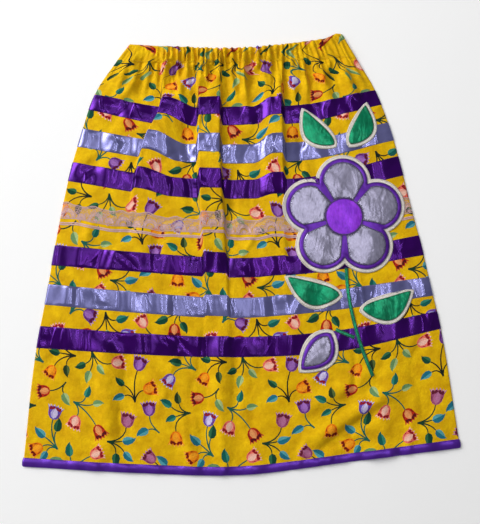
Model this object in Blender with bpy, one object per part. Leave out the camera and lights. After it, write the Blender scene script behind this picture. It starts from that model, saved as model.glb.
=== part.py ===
"""Ribbon skirt laid flat: a gathered cotton tube with satin ribbons, a lace band and a floral applique.

Everything is in millimetres until add_object() turns it into metres. X runs across the skirt, Y runs
towards the waist, Z is up from the floor. The wearer's side that shows is the upper one.
"""
import math

import bpy
import numpy as np
from mathutils import Matrix, Vector
from mathutils.bvhtree import BVHTree
from mathutils.geometry import delaunay_2d_cdt

MM = 0.001

CLOTH_WALL = 1.2
CASING_WALL = 1.6
TRIM_WALL = 1.0
SEAM_GAP = 0.3
RIBBON_WIDTH = 38.0
LACE_WIDTH = 42.0
BINDING_WIDTH = 15.0
CASING_BACK_TOP = 2.4
CASING_BACK_GATHER = 0.4
BACK_COLUMNS = 16

# How far the gathers stand up for each millimetre of their width, and how far below the seam they fade out.
GATHER_STEEPNESS = 0.75
GATHER_FADE = 66.0

# The front stands up from the back like a flat pillow: its height by section, and how fast it falls to the sides.
PILLOW_HEIGHTS = {"waist": 2.2, "seam": 2.4, "ribbon_1": 4.5, "ribbon_5": 3.5, "ribbon_7": 2.9, "hem": 1.4}
PILLOW_EDGE = 26.0

# The small bunch that stands up at the right end of the waist.
BUNCH_X = 190.0
BUNCH_WIDTH = 15.0
BUNCH_RISE = 7.0

# The sections that were measured, from waist to hem.
# name: (down along the cloth, left x, right x, y at the left edge, quarter, middle, three quarters, right edge)
SECTIONS = {
    "waist": (0, -236, 211, 405, 401, 399, 409, 425),
    "seam": (31, -255, 232, 370, 368, 368, 372, 378),
    "ribbon_1": (141, -297, 270, 289, 258, 258, 264, 299),
    "ribbon_2": (218, -318, 294, 215, 189, 181, 191, 228),
    "ribbon_3": (288, -335, 311, 147, 119, 111, 117, 159),
    "lace": (367, -350, 329, 65, 41, 32, 41, 75),
    "ribbon_5": (442, -363, 346, -19, -33, -43, -31, 2),
    "ribbon_6": (519, -373, 362, -93, -110, -120, -104, -79),
    "ribbon_7": (593, -386, 375, -175, -188, -194, -182, -142),
    "hem": (827, -406, 406, -413, -424, -428, -404, -379),
}
STATIONS = (0.0, 0.25, 0.5, 0.75, 1.0)

# The bands sewn on, each centred on its section: (section, width, colour).
SATIN_PURPLE = (0.075, 0.006, 0.17)
SATIN_LAVENDER = (0.2, 0.2, 0.46)
BANDS = {
    "ribbon_purple_1": ("ribbon_1", RIBBON_WIDTH, SATIN_PURPLE),
    "ribbon_lavender_2": ("ribbon_2", RIBBON_WIDTH, SATIN_LAVENDER),
    "ribbon_purple_3": ("ribbon_3", RIBBON_WIDTH, SATIN_PURPLE),
    "lace_band_4": ("lace", LACE_WIDTH, (0.6, 0.37, 0.37)),
    "ribbon_purple_5": ("ribbon_5", RIBBON_WIDTH, SATIN_PURPLE),
    "ribbon_lavender_6": ("ribbon_6", RIBBON_WIDTH, SATIN_LAVENDER),
    "ribbon_purple_7": ("ribbon_7", RIBBON_WIDTH, SATIN_PURPLE),
}

# The three large folds. Each is a raised welt whose cloth also sits nearer the waist than its neighbours.
# PATHS gives the x of its line at each section, STRENGTHS how much of it is left there.
FOLD_SECTIONS = ("seam", "ribbon_1", "ribbon_2", "ribbon_3", "lace", "ribbon_5", "ribbon_7", "hem")
PATHS = {
    "left_lap": (-158, -163, -193, -209, -217, -224, -236, -248),
    "middle_pleat": (-65, -64, -64, -61, -56, -51, -46, -42),
    "right_lap": (65, 67, 68, 69, 70, 72, 76, 84),
}
STRENGTHS = {
    "left_lap": (0.35, 1.0, 0.9, 0.55, 0.1, 0.0, 0.0, 0.0),
    "middle_pleat": (0.5, 1.0, 1.0, 0.95, 0.7, 0.45, 0.05, 0.0),
    "right_lap": (0.35, 1.0, 1.0, 0.6, 0.2, 0.1, 0.0, 0.0),
}
# name: (left foot, left crest, right crest, right foot, height, pull towards the waist), offsets from its line
FOLDS = {
    "left_lap": (-5, 5, 14, 76, 10, 20),
    "middle_pleat": (-26, -19, 20, 27, 12, 20),
    "right_lap": (-46, -6, 10, 19, 10, 18),
}

# The lines that the columns of the cloth follow, and how many columns lie between each and the next.
# name: (fold, which of its offsets, columns up to the next line)
COLUMN_LINES = (
    ("left edge", None, 8),
    ("left_lap", 0, 1),
    ("left_lap", 1, 6),
    ("middle_pleat", 0, 1),
    ("middle_pleat", 1, 4),
    ("middle_pleat", 2, 1),
    ("middle_pleat", 3, 9),
    ("right_lap", 2, 1),
    ("right_lap", 3, 14),
    ("right edge", None, 0),
)

# Soft creases: (x, y of the upper end, x, y of the lower end, half width, height)
CREASES = (
    (-183, 366, -245, 285, 9, 3.0),
    (-211, 378, -273, 301, 10, 2.0),
    (-131, 364, -118, 285, 7, 3.5),
    (-109, 364, -101, 290, 6, 2.5),
    (-19, 364, -11, 280, 7, 3.0),
    (2, 366, 10, 262, 8, 4.0),
    (96, 364, 107, 285, 8, 4.0),
    (120, 364, 139, 280, 8, 3.0),
    (148, 366, 182, 275, 9, 4.0),
    (176, 374, 246, 277, 9, 4.5),
    (206, 384, 258, 293, 9, 3.0),
    (-33, -180, -33, -420, 22, 2.2),
    (-259, -180, -248, -411, 20, 2.0),
    (288, -275, 120, -372, 20, 3.0),
    (232, -250, 100, -318, 16, 2.4),
)

# The floral applique: (centre x, centre y) of the flower, and its sizes.
FLOWER_CENTRE = (197, 56)
PETALS = 5
PETAL_REACH = 68
PETAL_RADIUS = 47
FLOWER_DISC = 36
BACKING_RIM = 7
BORDER_RIM = 8

# Leaves and the bud: (x, y of the base, x, y of the tip, greatest half width, bow to the left).
LEAVES = {
    "leaf_1": (180, 199, 122, 268, 20, 12),
    "leaf_2": (212, 200, 244, 280, 20, -12),
    "leaf_3": (186, -96, 88, -62, 22, 14),
    "leaf_4": (229, -124, 322, -88, 22, -16),
}
BUD = (168, -168, 112, -236, 27, 6)
# Stems run through three points: (x, y) at each end and between.
STEMS = {
    "stem_main": ((200, -44), (211, -140), (246, -248)),
    "stem_bud": ((213, -176), (196, -169), (178, -161)),
}
STEM_WIDTH = 7
# Points of a patch that would lie closer than this to each other become one.
NEAREST_POINTS = 0.6

FELT_WHITE = (0.68, 0.63, 0.58)
METAL_VIOLET = (0.16, 0.012, 0.5)
METAL_SILVER = (0.36, 0.34, 0.47)
METAL_GREEN = (0.0, 0.3, 0.15)
COTTON_YELLOW = (0.79, 0.48, 0.004)
BINDING_VIOLET = (0.09, 0.025, 0.3)


def smooth(position, stations, values):
    """Read a smooth curve through a short table of values."""
    stations = np.asarray(stations, float)
    values = np.asarray(values, float)
    slopes = np.gradient(values, stations)
    at = np.clip(position, stations[0], stations[-1])
    span = np.clip(np.searchsorted(stations, at, side="right") - 1, 0, len(stations) - 2)
    width = stations[span + 1] - stations[span]
    step = (at - stations[span]) / width
    rise = values[span + 1] - values[span]
    start = slopes[span] * width
    end = slopes[span + 1] * width
    return values[span] + step * (start + step * (3 * rise - 2 * start - end + step * (start + end - 2 * rise)))


def ease(position, start, end):
    """Rise smoothly from 0 at start to 1 at end."""
    step = np.clip((position - start) / (end - start), 0, 1)
    return step * step * (3 - 2 * step)


def section(column, down):
    """One of the measured columns of SECTIONS at this distance down the cloth."""
    rows = tuple(SECTIONS.values())
    return smooth(down, [row[0] for row in rows], [row[column] for row in rows])


def fold_value(table, fold, down):
    """A fold's line or strength at this distance down the cloth."""
    return smooth(down, [SECTIONS[name][0] for name in FOLD_SECTIONS], table[fold])


def column_places(down):
    """The x of every column of the cloth at this distance down it."""
    lines = []
    for name, corner, count in COLUMN_LINES:
        if name == "left edge":
            place = section(1, down)
        elif name == "right edge":
            place = section(2, down)
        else:
            place = fold_value(PATHS, name, down) + FOLDS[name][corner]
        lines.append((float(place), count))
    places = [lines[0][0]]
    for (start, count), (end, _) in zip(lines, lines[1:]):
        places += [start + (end - start) * (step + 1) / count for step in range(count)]
    return np.array(places)


def with_midpoints(places):
    """Put one more column midway between each two."""
    finer = np.empty(2 * len(places) - 1)
    finer[0::2] = places
    finer[1::2] = (places[:-1] + places[1:]) / 2
    return finer


def fold_shape(fold, x, down):
    """How much of a fold is under each x, from 0 outside it to 1 on its crest."""
    offset = x - fold_value(PATHS, fold, down)
    foot_left, crest_left, crest_right, foot_right = FOLDS[fold][:4]
    shape = ease(offset, foot_left, crest_left) * (1 - ease(offset, crest_right, foot_right))
    return shape * np.clip(fold_value(STRENGTHS, fold, down), 0, 1)


def crease_heights(x, y):
    """The height that the soft creases add at each point."""
    height = np.zeros_like(x)
    for top_x, top_y, low_x, low_y, half_width, rise in CREASES:
        along_x, along_y = low_x - top_x, low_y - top_y
        length = math.hypot(along_x, along_y)
        along = ((x - top_x) * along_x + (y - top_y) * along_y) / length
        across = ((x - top_x) * along_y - (y - top_y) * along_x) / length
        ends = ease(along, -20, 25) * (1 - ease(along, length - 45, length + 10))
        height += rise * ends * np.exp(-(across / half_width) ** 2)
    return height


def gather_heights(places, down):
    """Stand up every second column of the gathered zone, unevenly, as elastic draws cloth in."""
    count = len(places)
    index = np.arange(count)
    spacing = np.gradient(places)
    uneven = 0.62 + 0.38 * np.sin(2.39 * index) * np.cos(0.7 * index)
    across = (places - places[0]) / (places[-1] - places[0])
    # The cloth is hardly drawn in at the left end of the waist, and less at its right end.
    drawn = (0.15 + 0.85 * ease(across, 0.1, 0.24)) * (1 - 0.45 * ease(across, 0.86, 0.94))
    fade = 1 - ease(down, SECTIONS["seam"][0], SECTIONS["seam"][0] + GATHER_FADE)
    stands = (index % 2) * (index > 0) * (index < count - 1)
    return 2 * GATHER_STEEPNESS * spacing * uneven * drawn * fade * stands


def cloth_row(down, gathered):
    """The points of the skirt front's outer side at one distance down from the waist."""
    places = column_places(down)
    if gathered:
        places = with_midpoints(places)
    left, right = places[0], places[-1]
    across = (places - left) / (right - left)
    y = smooth(across, STATIONS, [float(section(column, down)) for column in range(3, 8)])
    seam = SECTIONS["seam"][0]
    from_waist = 1 - ease(down, 0.3 * seam, 1.6 * seam)
    y = y + BUNCH_RISE * from_waist * np.exp(-((places - BUNCH_X) / BUNCH_WIDTH) ** 2)
    lowest = CASING_BACK_TOP + (CLOTH_WALL - CASING_BACK_TOP) * ease(down, seam, seam + 30)
    wall = CASING_WALL + (CLOTH_WALL - CASING_WALL) * ease(down, seam - 1, seam)
    pillow = smooth(down, [SECTIONS[name][0] for name in PILLOW_HEIGHTS], list(PILLOW_HEIGHTS.values()))
    edge = np.minimum(places - left, right - places)
    z = lowest + SEAM_GAP + wall + pillow * (1 - np.exp(-edge / PILLOW_EDGE))
    z = z + crease_heights(places, y) * ease(edge, 0, 30)
    if gathered:
        z = z + gather_heights(places, down) * casing_swell(down)
    pulled = ease(down, seam, seam + 95)
    for fold, shape in FOLDS.items():
        share = fold_shape(fold, places, down)
        z = z + shape[4] * share * ease(down, 0, seam)
        y = y + shape[5] * share * pulled
    return np.column_stack((places, y, z))


def casing_swell(down):
    """The elastic casing is thin at its folded top edge and at its stitched seam."""
    seam = SECTIONS["seam"][0]
    return smooth(down, (0, 0.15 * seam, 0.5 * seam, seam, 1.5 * seam), (0.35, 0.8, 1.0, 0.6, 1.0))


def strip_triangles(upper, lower):
    """Join two rows of point numbers. The upper row may have twice as many steps as the lower."""
    triangles = []
    if len(upper) == len(lower):
        for step in range(len(upper) - 1):
            a, b, c, d = upper[step], upper[step + 1], lower[step + 1], lower[step]
            triangles += [(a, d, b), (b, d, c)]
        return triangles
    for step in range(len(lower) - 1):
        a, middle, b = upper[2 * step : 2 * step + 3]
        c, d = lower[step + 1], lower[step]
        triangles += [(a, d, middle), (middle, d, c), (middle, c, b)]
    return triangles


class Surface:
    """Rows of points with the triangles between them, and the outward direction at each point."""

    def __init__(self, downs, gathered_above):
        self.downs = downs
        self.rows = []
        points = []
        for down in downs:
            row = cloth_row(down, down < gathered_above)
            self.rows.append(list(range(len(points), len(points) + len(row))))
            points += list(row)
        self.points = np.array(points)
        self.triangles = []
        for upper, lower in zip(self.rows, self.rows[1:]):
            self.triangles += strip_triangles(upper, lower)
        self.normals = outward_directions(self.points, self.triangles)

    def part(self, first, last):
        """Points, outward directions and triangles between two rows, both included."""
        start, end = self.rows[first][0], self.rows[last][-1] + 1
        triangles = [
            tuple(corner - start for corner in triangle)
            for triangle in self.triangles
            if min(triangle) >= start and max(triangle) < end
        ]
        return self.points[start:end], self.normals[start:end], triangles


def outward_directions(points, triangles):
    """At each point, the step that moves every face around it outwards by about one unit."""
    corners = points[np.array(triangles)]
    faces = np.cross(corners[:, 1] - corners[:, 0], corners[:, 2] - corners[:, 0])
    faces /= np.linalg.norm(faces, axis=1)[:, None]
    total = np.zeros_like(points)
    count = np.zeros(len(points))
    for triangle, face in zip(triangles, faces):
        for corner in triangle:
            total[corner] += face
            count[corner] += 1
    mean = total / count[:, None]
    length = np.linalg.norm(mean, axis=1)
    # A mean of unit directions is shorter where the faces turn, so dividing twice keeps the wall's thickness.
    return mean / (np.maximum(length, 0.6) * length)[:, None]


def closed_between(outer, inner, triangles):
    """A solid between two sheets of points that share their triangles, closed round the rim."""
    count = len(outer)
    faces = list(triangles) + [tuple(corner + count for corner in reversed(face)) for face in triangles]
    edges = {(face[i], face[(i + 1) % 3]) for face in triangles for i in range(3)}
    for start, end in sorted(edges):
        if (end, start) not in edges:
            faces += [(end, start, start + count), (end, start + count, end + count)]
    return np.vstack((outer, inner)), faces


def closed_wall(points, directions, triangles, inner, outer):
    """A wall between two offsets of one surface."""
    return closed_between(points + directions * outer, points + directions * inner, triangles)


def flat_bottomed(top, triangles):
    """A solid from the floor up to these points."""
    return closed_between(top, top * (1, 1, 0), triangles)


def add_object(name, vertices, faces, colour, roughness, metallic=0.0):
    """Make one named solid with its own material."""
    mesh = bpy.data.meshes.new(name)
    mesh.from_pydata([tuple(float(value) * MM for value in vertex) for vertex in vertices], [], faces)
    mesh.validate()
    item = bpy.data.objects.new(name, mesh)
    bpy.context.scene.collection.objects.link(item)
    material = bpy.data.materials.new(name)
    material.use_nodes = True
    shader = material.node_tree.nodes["Principled BSDF"]
    shader.inputs["Base Color"].default_value = (*colour, 1)
    shader.inputs["Roughness"].default_value = roughness
    shader.inputs["Metallic"].default_value = metallic
    mesh.materials.append(material)
    return item


def make_casing():
    """The elastic casing: a gathered front wall, and a back wall that lies flat underneath."""
    seam = SECTIONS["seam"][0]
    front = Surface((0, 0.16 * seam, 0.55 * seam, seam - SEAM_GAP), gathered_above=seam)
    solid = closed_wall(front.points, front.normals, front.triangles, -CASING_WALL, 0)
    add_object("waistband_front", *solid, COTTON_YELLOW, 0.8)
    rows = [cloth_row(down, gathered=True) for down in (0, seam - SEAM_GAP)]
    count = len(rows[0])
    for row in rows:
        row[:, 2] = CASING_BACK_TOP - CASING_BACK_GATHER * (np.arange(count) % 2)
    triangles = strip_triangles(list(range(count)), list(range(count, 2 * count)))
    add_object("waistband_back", *flat_bottomed(np.vstack(rows), triangles), COTTON_YELLOW, 0.8)


def back_strip(name, downs, colour, roughness):
    """A plain stretch of the skirt's back, flat on the floor."""
    rows = []
    for down in downs:
        row = cloth_row(down, gathered=False)
        left, right = row[0, 0], row[-1, 0]
        places = np.linspace(left, right, BACK_COLUMNS + 1)
        across = (places - left) / (right - left)
        y = smooth(across, STATIONS, [float(section(column, down)) for column in range(3, 8)])
        rows.append(np.column_stack((places, y, np.full(len(places), CLOTH_WALL))))
    count = len(rows[0])
    triangles = []
    for index in range(len(rows) - 1):
        upper = list(range(index * count, (index + 1) * count))
        lower = list(range((index + 1) * count, (index + 2) * count))
        triangles += strip_triangles(upper, lower)
    add_object(name, *flat_bottomed(np.vstack(rows), triangles), colour, roughness)


def panel_rows():
    """Distances down the cloth of the front's rows: both edges of every band, and rows between them."""
    seam, hem = SECTIONS["seam"][0], SECTIONS["hem"][0]
    rows = [seam, seam + 9, seam + 24, seam + 44, seam + 66]
    for place, width, _ in BANDS.values():
        rows += [SECTIONS[place][0] - width / 2, SECTIONS[place][0] + width / 2]
    rows += [664, 718, 770, hem - BINDING_WIDTH, hem]
    return rows


def make_bands(front):
    """Ribbons and lace: strips made from the front's own points, moved out."""
    for name, (place, width, colour) in BANDS.items():
        first = front.downs.index(SECTIONS[place][0] - width / 2)
        points, directions, triangles = front.part(first, first + 1)
        solid = closed_wall(points, directions, triangles, SEAM_GAP, SEAM_GAP + TRIM_WALL)
        roughness = 0.8 if place == "lace" else 0.35
        add_object(name, *solid, colour, roughness)


def make_hem_binding(front):
    """Satin folded over the front's hem: a band on the cloth with a lip down over its cut edge."""
    last = len(front.downs) - 1
    upper, upper_out, _ = front.part(last - 1, last - 1)
    lower, lower_out, _ = front.part(last, last)
    down = lower - upper
    down /= np.linalg.norm(down, axis=1)[:, None]
    inner, outer = SEAM_GAP, SEAM_GAP + TRIM_WALL
    ring = (
        upper + upper_out * outer,
        lower + lower_out * outer + down * outer,
        lower - lower_out * CLOTH_WALL + down * outer,
        lower - lower_out * CLOTH_WALL + down * inner,
        lower + lower_out * inner + down * inner,
        upper + upper_out * inner,
    )
    count = len(upper)
    corners = len(ring)
    faces = []
    for corner in range(corners):
        following = (corner + 1) % corners
        for step in range(count - 1):
            a, b = corner * count + step, corner * count + step + 1
            c, d = following * count + step + 1, following * count + step
            faces += [(a, d, b), (b, d, c)]
    starts = [corner * count for corner in range(corners)]
    ends = [corner * count + count - 1 for corner in range(corners)]
    for one, two, three in ((0, 1, 4), (0, 4, 5), (1, 2, 3), (1, 3, 4)):
        faces.append((starts[three], starts[two], starts[one]))
        faces.append((ends[one], ends[two], ends[three]))
    add_object("hem_binding_front", np.vstack(ring), faces, BINDING_VIOLET, 0.3)


def flower_outline(rim):
    """A ring of round petals, drawn in by rim."""
    points = []
    steps = 8
    radius = PETAL_RADIUS - rim
    for petal in range(PETALS):
        for step in range(steps):
            swing = (step / steps - 0.5) * 2 * math.pi / PETALS
            reach = PETAL_REACH * math.cos(swing)
            reach += math.sqrt(max(radius**2 - (PETAL_REACH * math.sin(swing)) ** 2, 0))
            angle = math.pi / 2 + petal * 2 * math.pi / PETALS + swing
            points.append((FLOWER_CENTRE[0] + reach * math.cos(angle), FLOWER_CENTRE[1] + reach * math.sin(angle)))
    return points


def petal_outline(petal, rim):
    """One petal inside the border, from the disc outwards."""
    radius = PETAL_RADIUS - rim
    half = math.pi / PETALS - 0.11
    turn = math.pi / 2 + petal * 2 * math.pi / PETALS
    outline = []
    for step in range(9):
        swing = half * (step / 4 - 1)
        reach = PETAL_REACH * math.cos(swing)
        reach += math.sqrt(max(radius**2 - (PETAL_REACH * math.sin(swing)) ** 2, 0))
        outline.append((reach, turn + swing))
    inner = FLOWER_DISC + 3
    outline += [(inner, turn + half * (1 - step / 2)) for step in range(5)]
    return [(FLOWER_CENTRE[0] + r * math.cos(a), FLOWER_CENTRE[1] + r * math.sin(a)) for r, a in outline]


def round_outline(radius, count=20):
    turns = [2 * math.pi * step / count for step in range(count)]
    return [(FLOWER_CENTRE[0] + radius * math.cos(a), FLOWER_CENTRE[1] + radius * math.sin(a)) for a in turns]


def leaf_outline(leaf, rim):
    """A pointed leaf, bowed to one side, made larger by rim all round."""
    base_x, base_y, tip_x, tip_y, half_width, bow = leaf
    along = Vector((tip_x - base_x, tip_y - base_y))
    length = along.length
    along.normalize()
    side = Vector((-along.y, along.x))
    start = Vector((base_x, base_y)) - along * rim
    steps = 7
    left, right = [], []
    for step in range(steps + 1):
        share = step / steps
        width = (half_width + rim) * math.sin(math.pi * share**0.85) ** 0.8 if 0 < step < steps else 0
        middle = start + along * (share * (length + 2 * rim)) + side * (bow * math.sin(math.pi * share))
        left.append(middle + side * width)
        right.append(middle - side * width)
    return [tuple(point) for point in right + left[-2:0:-1]]


def stem_outline(points, width):
    """A narrow strip along a curve through three points."""
    (ax, ay), (bx, by), (cx, cy) = points
    steps = 6
    left, right = [], []
    for step in range(steps + 1):
        share = step / steps
        # The middle point is passed through half way, so the curve's control point lies beyond it.
        px, py = 2 * bx - (ax + cx) / 2, 2 * by - (ay + cy) / 2
        x = (1 - share) ** 2 * ax + 2 * share * (1 - share) * px + share**2 * cx
        y = (1 - share) ** 2 * ay + 2 * share * (1 - share) * py + share**2 * cy
        slope = Vector((2 * (1 - share) * (px - ax) + 2 * share * (cx - px),
                        2 * (1 - share) * (py - ay) + 2 * share * (cy - py))).normalized()
        left.append((x - slope.y * width / 2, y + slope.x * width / 2))
        right.append((x + slope.y * width / 2, y - slope.x * width / 2))
    return right + left[::-1]


def inside(point, outline):
    """Whether a point is within a closed outline."""
    x, y = point
    crossed = False
    for (ax, ay), (bx, by) in zip(outline, outline[1:] + outline[:1]):
        if (ay > y) != (by > y) and x < ax + (bx - ax) * (y - ay) / (by - ay):
            crossed = not crossed
    return crossed


class Patchwork:
    """Cuts flat outlines into the front's own facets, so that a patch follows the cloth beneath it."""

    def __init__(self, front):
        self.points = front.points
        self.triangles = front.triangles
        self.tree = BVHTree.FromPolygons([Vector(point) for point in front.points], front.triangles)

    def height(self, x, y):
        return self.tree.ray_cast(Vector((x, y, 100)), Vector((0, 0, -1)))[0].z

    def add(self, name, outline, level, colour, roughness, metallic):
        """One flat piece of the applique, level walls and gaps above the ribbons."""
        low = SEAM_GAP + TRIM_WALL + SEAM_GAP + level * (TRIM_WALL + SEAM_GAP)
        xs, ys = zip(*outline)
        near = []
        for triangle in self.triangles:
            corners = self.points[list(triangle)]
            if corners[:, 0].max() > min(xs) and corners[:, 0].min() < max(xs):
                if corners[:, 1].max() > min(ys) and corners[:, 1].min() < max(ys):
                    near.append(triangle)
        used = sorted({corner for triangle in near for corner in triangle})
        number = {corner: index for index, corner in enumerate(used)}
        flat = [Vector(self.points[corner][:2]) for corner in used] + [Vector(point) for point in outline]
        start, count = len(used), len(outline)
        edges = {tuple(sorted((number[t[i]], number[t[(i + 1) % 3]]))) for t in near for i in range(3)}
        ring = [(start + step, start + (step + 1) % count) for step in range(count)]
        places, _, faces = delaunay_2d_cdt(flat, sorted(edges) + ring, [], 0, NEAREST_POINTS)[:3]
        kept = []
        for face in faces:
            a, b, c = (places[corner] for corner in face)
            if inside((a + b + c) / 3, outline):
                upward = (b - a).cross(c - a) > 0
                kept.append(tuple(face) if upward else tuple(reversed(face)))
        used = sorted({corner for face in kept for corner in face})
        number = {corner: index for index, corner in enumerate(used)}
        points = np.array([(places[i].x, places[i].y, self.height(places[i].x, places[i].y)) for i in used])
        kept = [tuple(number[corner] for corner in face) for face in kept]
        upwards = np.tile((0.0, 0.0, 1.0), (len(points), 1))
        add_object(name, *closed_wall(points, upwards, kept, low, low + TRIM_WALL), colour, roughness, metallic)


def make_applique(front):
    """A five-petalled flower, four leaves, a closed bud and their stems."""
    patch = Patchwork(front)
    patch.add("flower_backing", flower_outline(-BACKING_RIM), 0, FELT_WHITE, 0.9, 0)
    patch.add("flower_border", flower_outline(0), 1, METAL_VIOLET, 0.35, 0.6)
    for petal in range(PETALS):
        patch.add(f"flower_petal_{petal + 1}", petal_outline(petal, BORDER_RIM), 2, METAL_SILVER, 0.35, 0.6)
    patch.add("flower_centre", round_outline(FLOWER_DISC), 2, METAL_VIOLET, 0.35, 0.6)
    for name, leaf in LEAVES.items():
        patch.add(f"{name}_backing", leaf_outline(leaf, BACKING_RIM), 0, FELT_WHITE, 0.9, 0)
        patch.add(name, leaf_outline(leaf, 0), 1, METAL_GREEN, 0.35, 0.6)
    patch.add("bud_backing", leaf_outline(BUD, BACKING_RIM), 0, FELT_WHITE, 0.9, 0)
    patch.add("bud_border", leaf_outline(BUD, 0), 1, METAL_VIOLET, 0.35, 0.6)
    patch.add("bud_petal", leaf_outline(BUD, -BORDER_RIM), 2, METAL_SILVER, 0.35, 0.6)
    for name, points in STEMS.items():
        patch.add(name, stem_outline(points, STEM_WIDTH), 0, METAL_GREEN, 0.5, 0.3)


def centre_on_floor():
    """Move everything so that the middle of the whole lies on the origin."""
    items = list(bpy.context.scene.objects)
    corners = np.array([vertex.co for item in items for vertex in item.data.vertices])
    middle = (corners.min(axis=0) + corners.max(axis=0)) / 2
    shift = Matrix.Translation((-middle[0], -middle[1], 0))
    for item in items:
        item.data.transform(shift)


def main():
    for item in list(bpy.data.objects):
        bpy.data.objects.remove(item)
    seam, hem = SECTIONS["seam"][0], SECTIONS["hem"][0]
    front = Surface(panel_rows(), gathered_above=seam + GATHER_FADE)
    solid = closed_wall(front.points, front.normals, front.triangles, -CLOTH_WALL, 0)
    add_object("front_panel", *solid, COTTON_YELLOW, 0.8)
    make_casing()
    back_rows = [seam] + [SECTIONS[name][0] for name in list(SECTIONS)[2:-1]] + [710, hem - BINDING_WIDTH]
    back_strip("back_panel", back_rows, COTTON_YELLOW, 0.8)
    back_strip("hem_binding_back", (hem - BINDING_WIDTH + SEAM_GAP, hem + SEAM_GAP), BINDING_VIOLET, 0.3)
    make_bands(front)
    make_hem_binding(front)
    make_applique(front)
    centre_on_floor()


main()
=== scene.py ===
"""Looks of the ribbon skirt: printed cotton gathered at the waist, satin ribbons, lace and an applique.

Shapes are worked out in millimetres in the frame of the laid skirt: X across it, Y towards the waist and
Z up from the floor. "Across" and "down" are distances on the cut cloth itself, from its left edge and its
waist edge.
"""
import itertools
import math
import random

import bpy
import numpy as np
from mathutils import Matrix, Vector
from mathutils.bvhtree import BVHTree
from mathutils.geometry import delaunay_2d_cdt


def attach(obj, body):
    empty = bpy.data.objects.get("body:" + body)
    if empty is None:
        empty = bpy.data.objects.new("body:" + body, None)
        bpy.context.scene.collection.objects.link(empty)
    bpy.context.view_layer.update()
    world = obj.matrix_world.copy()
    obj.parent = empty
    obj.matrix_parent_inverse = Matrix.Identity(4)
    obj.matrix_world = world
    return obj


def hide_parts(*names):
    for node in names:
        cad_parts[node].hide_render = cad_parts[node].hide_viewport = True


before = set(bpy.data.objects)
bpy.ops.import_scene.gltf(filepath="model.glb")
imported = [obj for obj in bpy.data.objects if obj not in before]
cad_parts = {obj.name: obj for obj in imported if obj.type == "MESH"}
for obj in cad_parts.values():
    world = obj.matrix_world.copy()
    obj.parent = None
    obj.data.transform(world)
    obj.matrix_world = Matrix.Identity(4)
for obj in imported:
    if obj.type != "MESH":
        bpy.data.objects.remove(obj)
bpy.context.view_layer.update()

MM = 0.001

# The cut: one half of the skirt, and the sizes of what is sewn on. The middle is its centre line.
CLOTH_MIDDLE = 407.5
CLOTH_LENGTH = 827.0
SEAM = 31.0
RIBBON_WIDTH = 38.0
LACE_WIDTH = 42.0
BINDING_WIDTH = 15.0
CASING_BACK_TOP = 2.4
CLOTH_WALL = 1.2
CASING_WALL = 1.6
SEAM_GAP = 0.3
# The solids were moved this far to stand centred on the origin.
SHIFT = np.array((-0.028, 0.689, 0.0))

# name: (down, left x, right x, y at the left edge, quarter, middle, three quarters, right edge)
SECTIONS = {
    "waist": (0, -224, 202, 408, 401, 399, 409, 425),
    "seam": (31, -251, 229, 370, 368, 368, 372, 378),
    "ribbon_1": (141, -297, 270, 289, 258, 258, 264, 299),
    "ribbon_2": (218, -318, 294, 215, 189, 181, 191, 228),
    "ribbon_3": (288, -335, 311, 147, 119, 111, 117, 159),
    "lace": (367, -350, 329, 65, 41, 32, 41, 75),
    "ribbon_5": (442, -363, 346, -19, -33, -43, -31, 2),
    "ribbon_6": (519, -373, 362, -93, -110, -120, -104, -79),
    "ribbon_7": (593, -386, 375, -175, -188, -194, -182, -142),
    "hem": (827, -406, 406, -413, -424, -428, -404, -379),
}
STATIONS = (0.0, 0.25, 0.5, 0.75, 1.0)
# The casing bunches up near its right end: where, how wide, and how far above the waist line.
BUNCH_X, BUNCH_WIDTH, BUNCH_RISE = 190.0, 15.0, 7.0
# How high the cloth stands in the middle of each section, and how soon it gets there from its sides.
PILLOW_HEIGHTS = {"waist": 2.2, "seam": 2.4, "ribbon_1": 4.5, "ribbon_5": 3.5, "ribbon_7": 2.9, "hem": 1.4}
PILLOW_EDGE = 26.0
# The front turns down to its rims within these widths, from at least one height to the other.
SIDE_FOLD, TOP_FOLD = 2.6, 3.6
FRONT_LEAST, RIM_HEIGHT = 2.2, 0.5
GATHER_STEEPNESS = 0.92
SECOND_CREST = 0.42
GATHER_FADE = 66.0

# The three large folds: their x at these sections, how strong they are there, and their shapes.
FOLD_SECTIONS = ("seam", "ribbon_1", "ribbon_2", "ribbon_3", "lace", "ribbon_5", "ribbon_7", "hem")
PATHS = {
    "left_lap": (-158, -163, -193, -209, -217, -224, -236, -248),
    "middle_pleat": (-65, -64, -64, -61, -56, -51, -46, -42),
    "right_lap": (65, 67, 68, 69, 70, 72, 76, 84),
}
STRENGTHS = {
    "left_lap": (0.35, 1.0, 0.9, 0.55, 0.1, 0.0, 0.0, 0.0),
    "middle_pleat": (0.5, 1.0, 1.0, 0.95, 0.7, 0.45, 0.05, 0.0),
    "right_lap": (0.35, 1.0, 1.0, 0.6, 0.2, 0.1, 0.0, 0.0),
}
# name: (left foot, left crest, right crest, right foot, height, pull towards the waist)
FOLDS = {
    "left_lap": (-5, 5, 14, 76, 10, 20),
    "middle_pleat": (-26, -19, 20, 27, 12, 20),
    "right_lap": (-46, -6, 10, 19, 10, 18),
}
COLUMN_LINES = (
    ("left edge", None, 8),
    ("left_lap", 0, 1),
    ("left_lap", 1, 6),
    ("middle_pleat", 0, 1),
    ("middle_pleat", 1, 4),
    ("middle_pleat", 2, 1),
    ("middle_pleat", 3, 9),
    ("right_lap", 2, 1),
    ("right_lap", 3, 14),
    ("right edge", None, 0),
)
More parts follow.
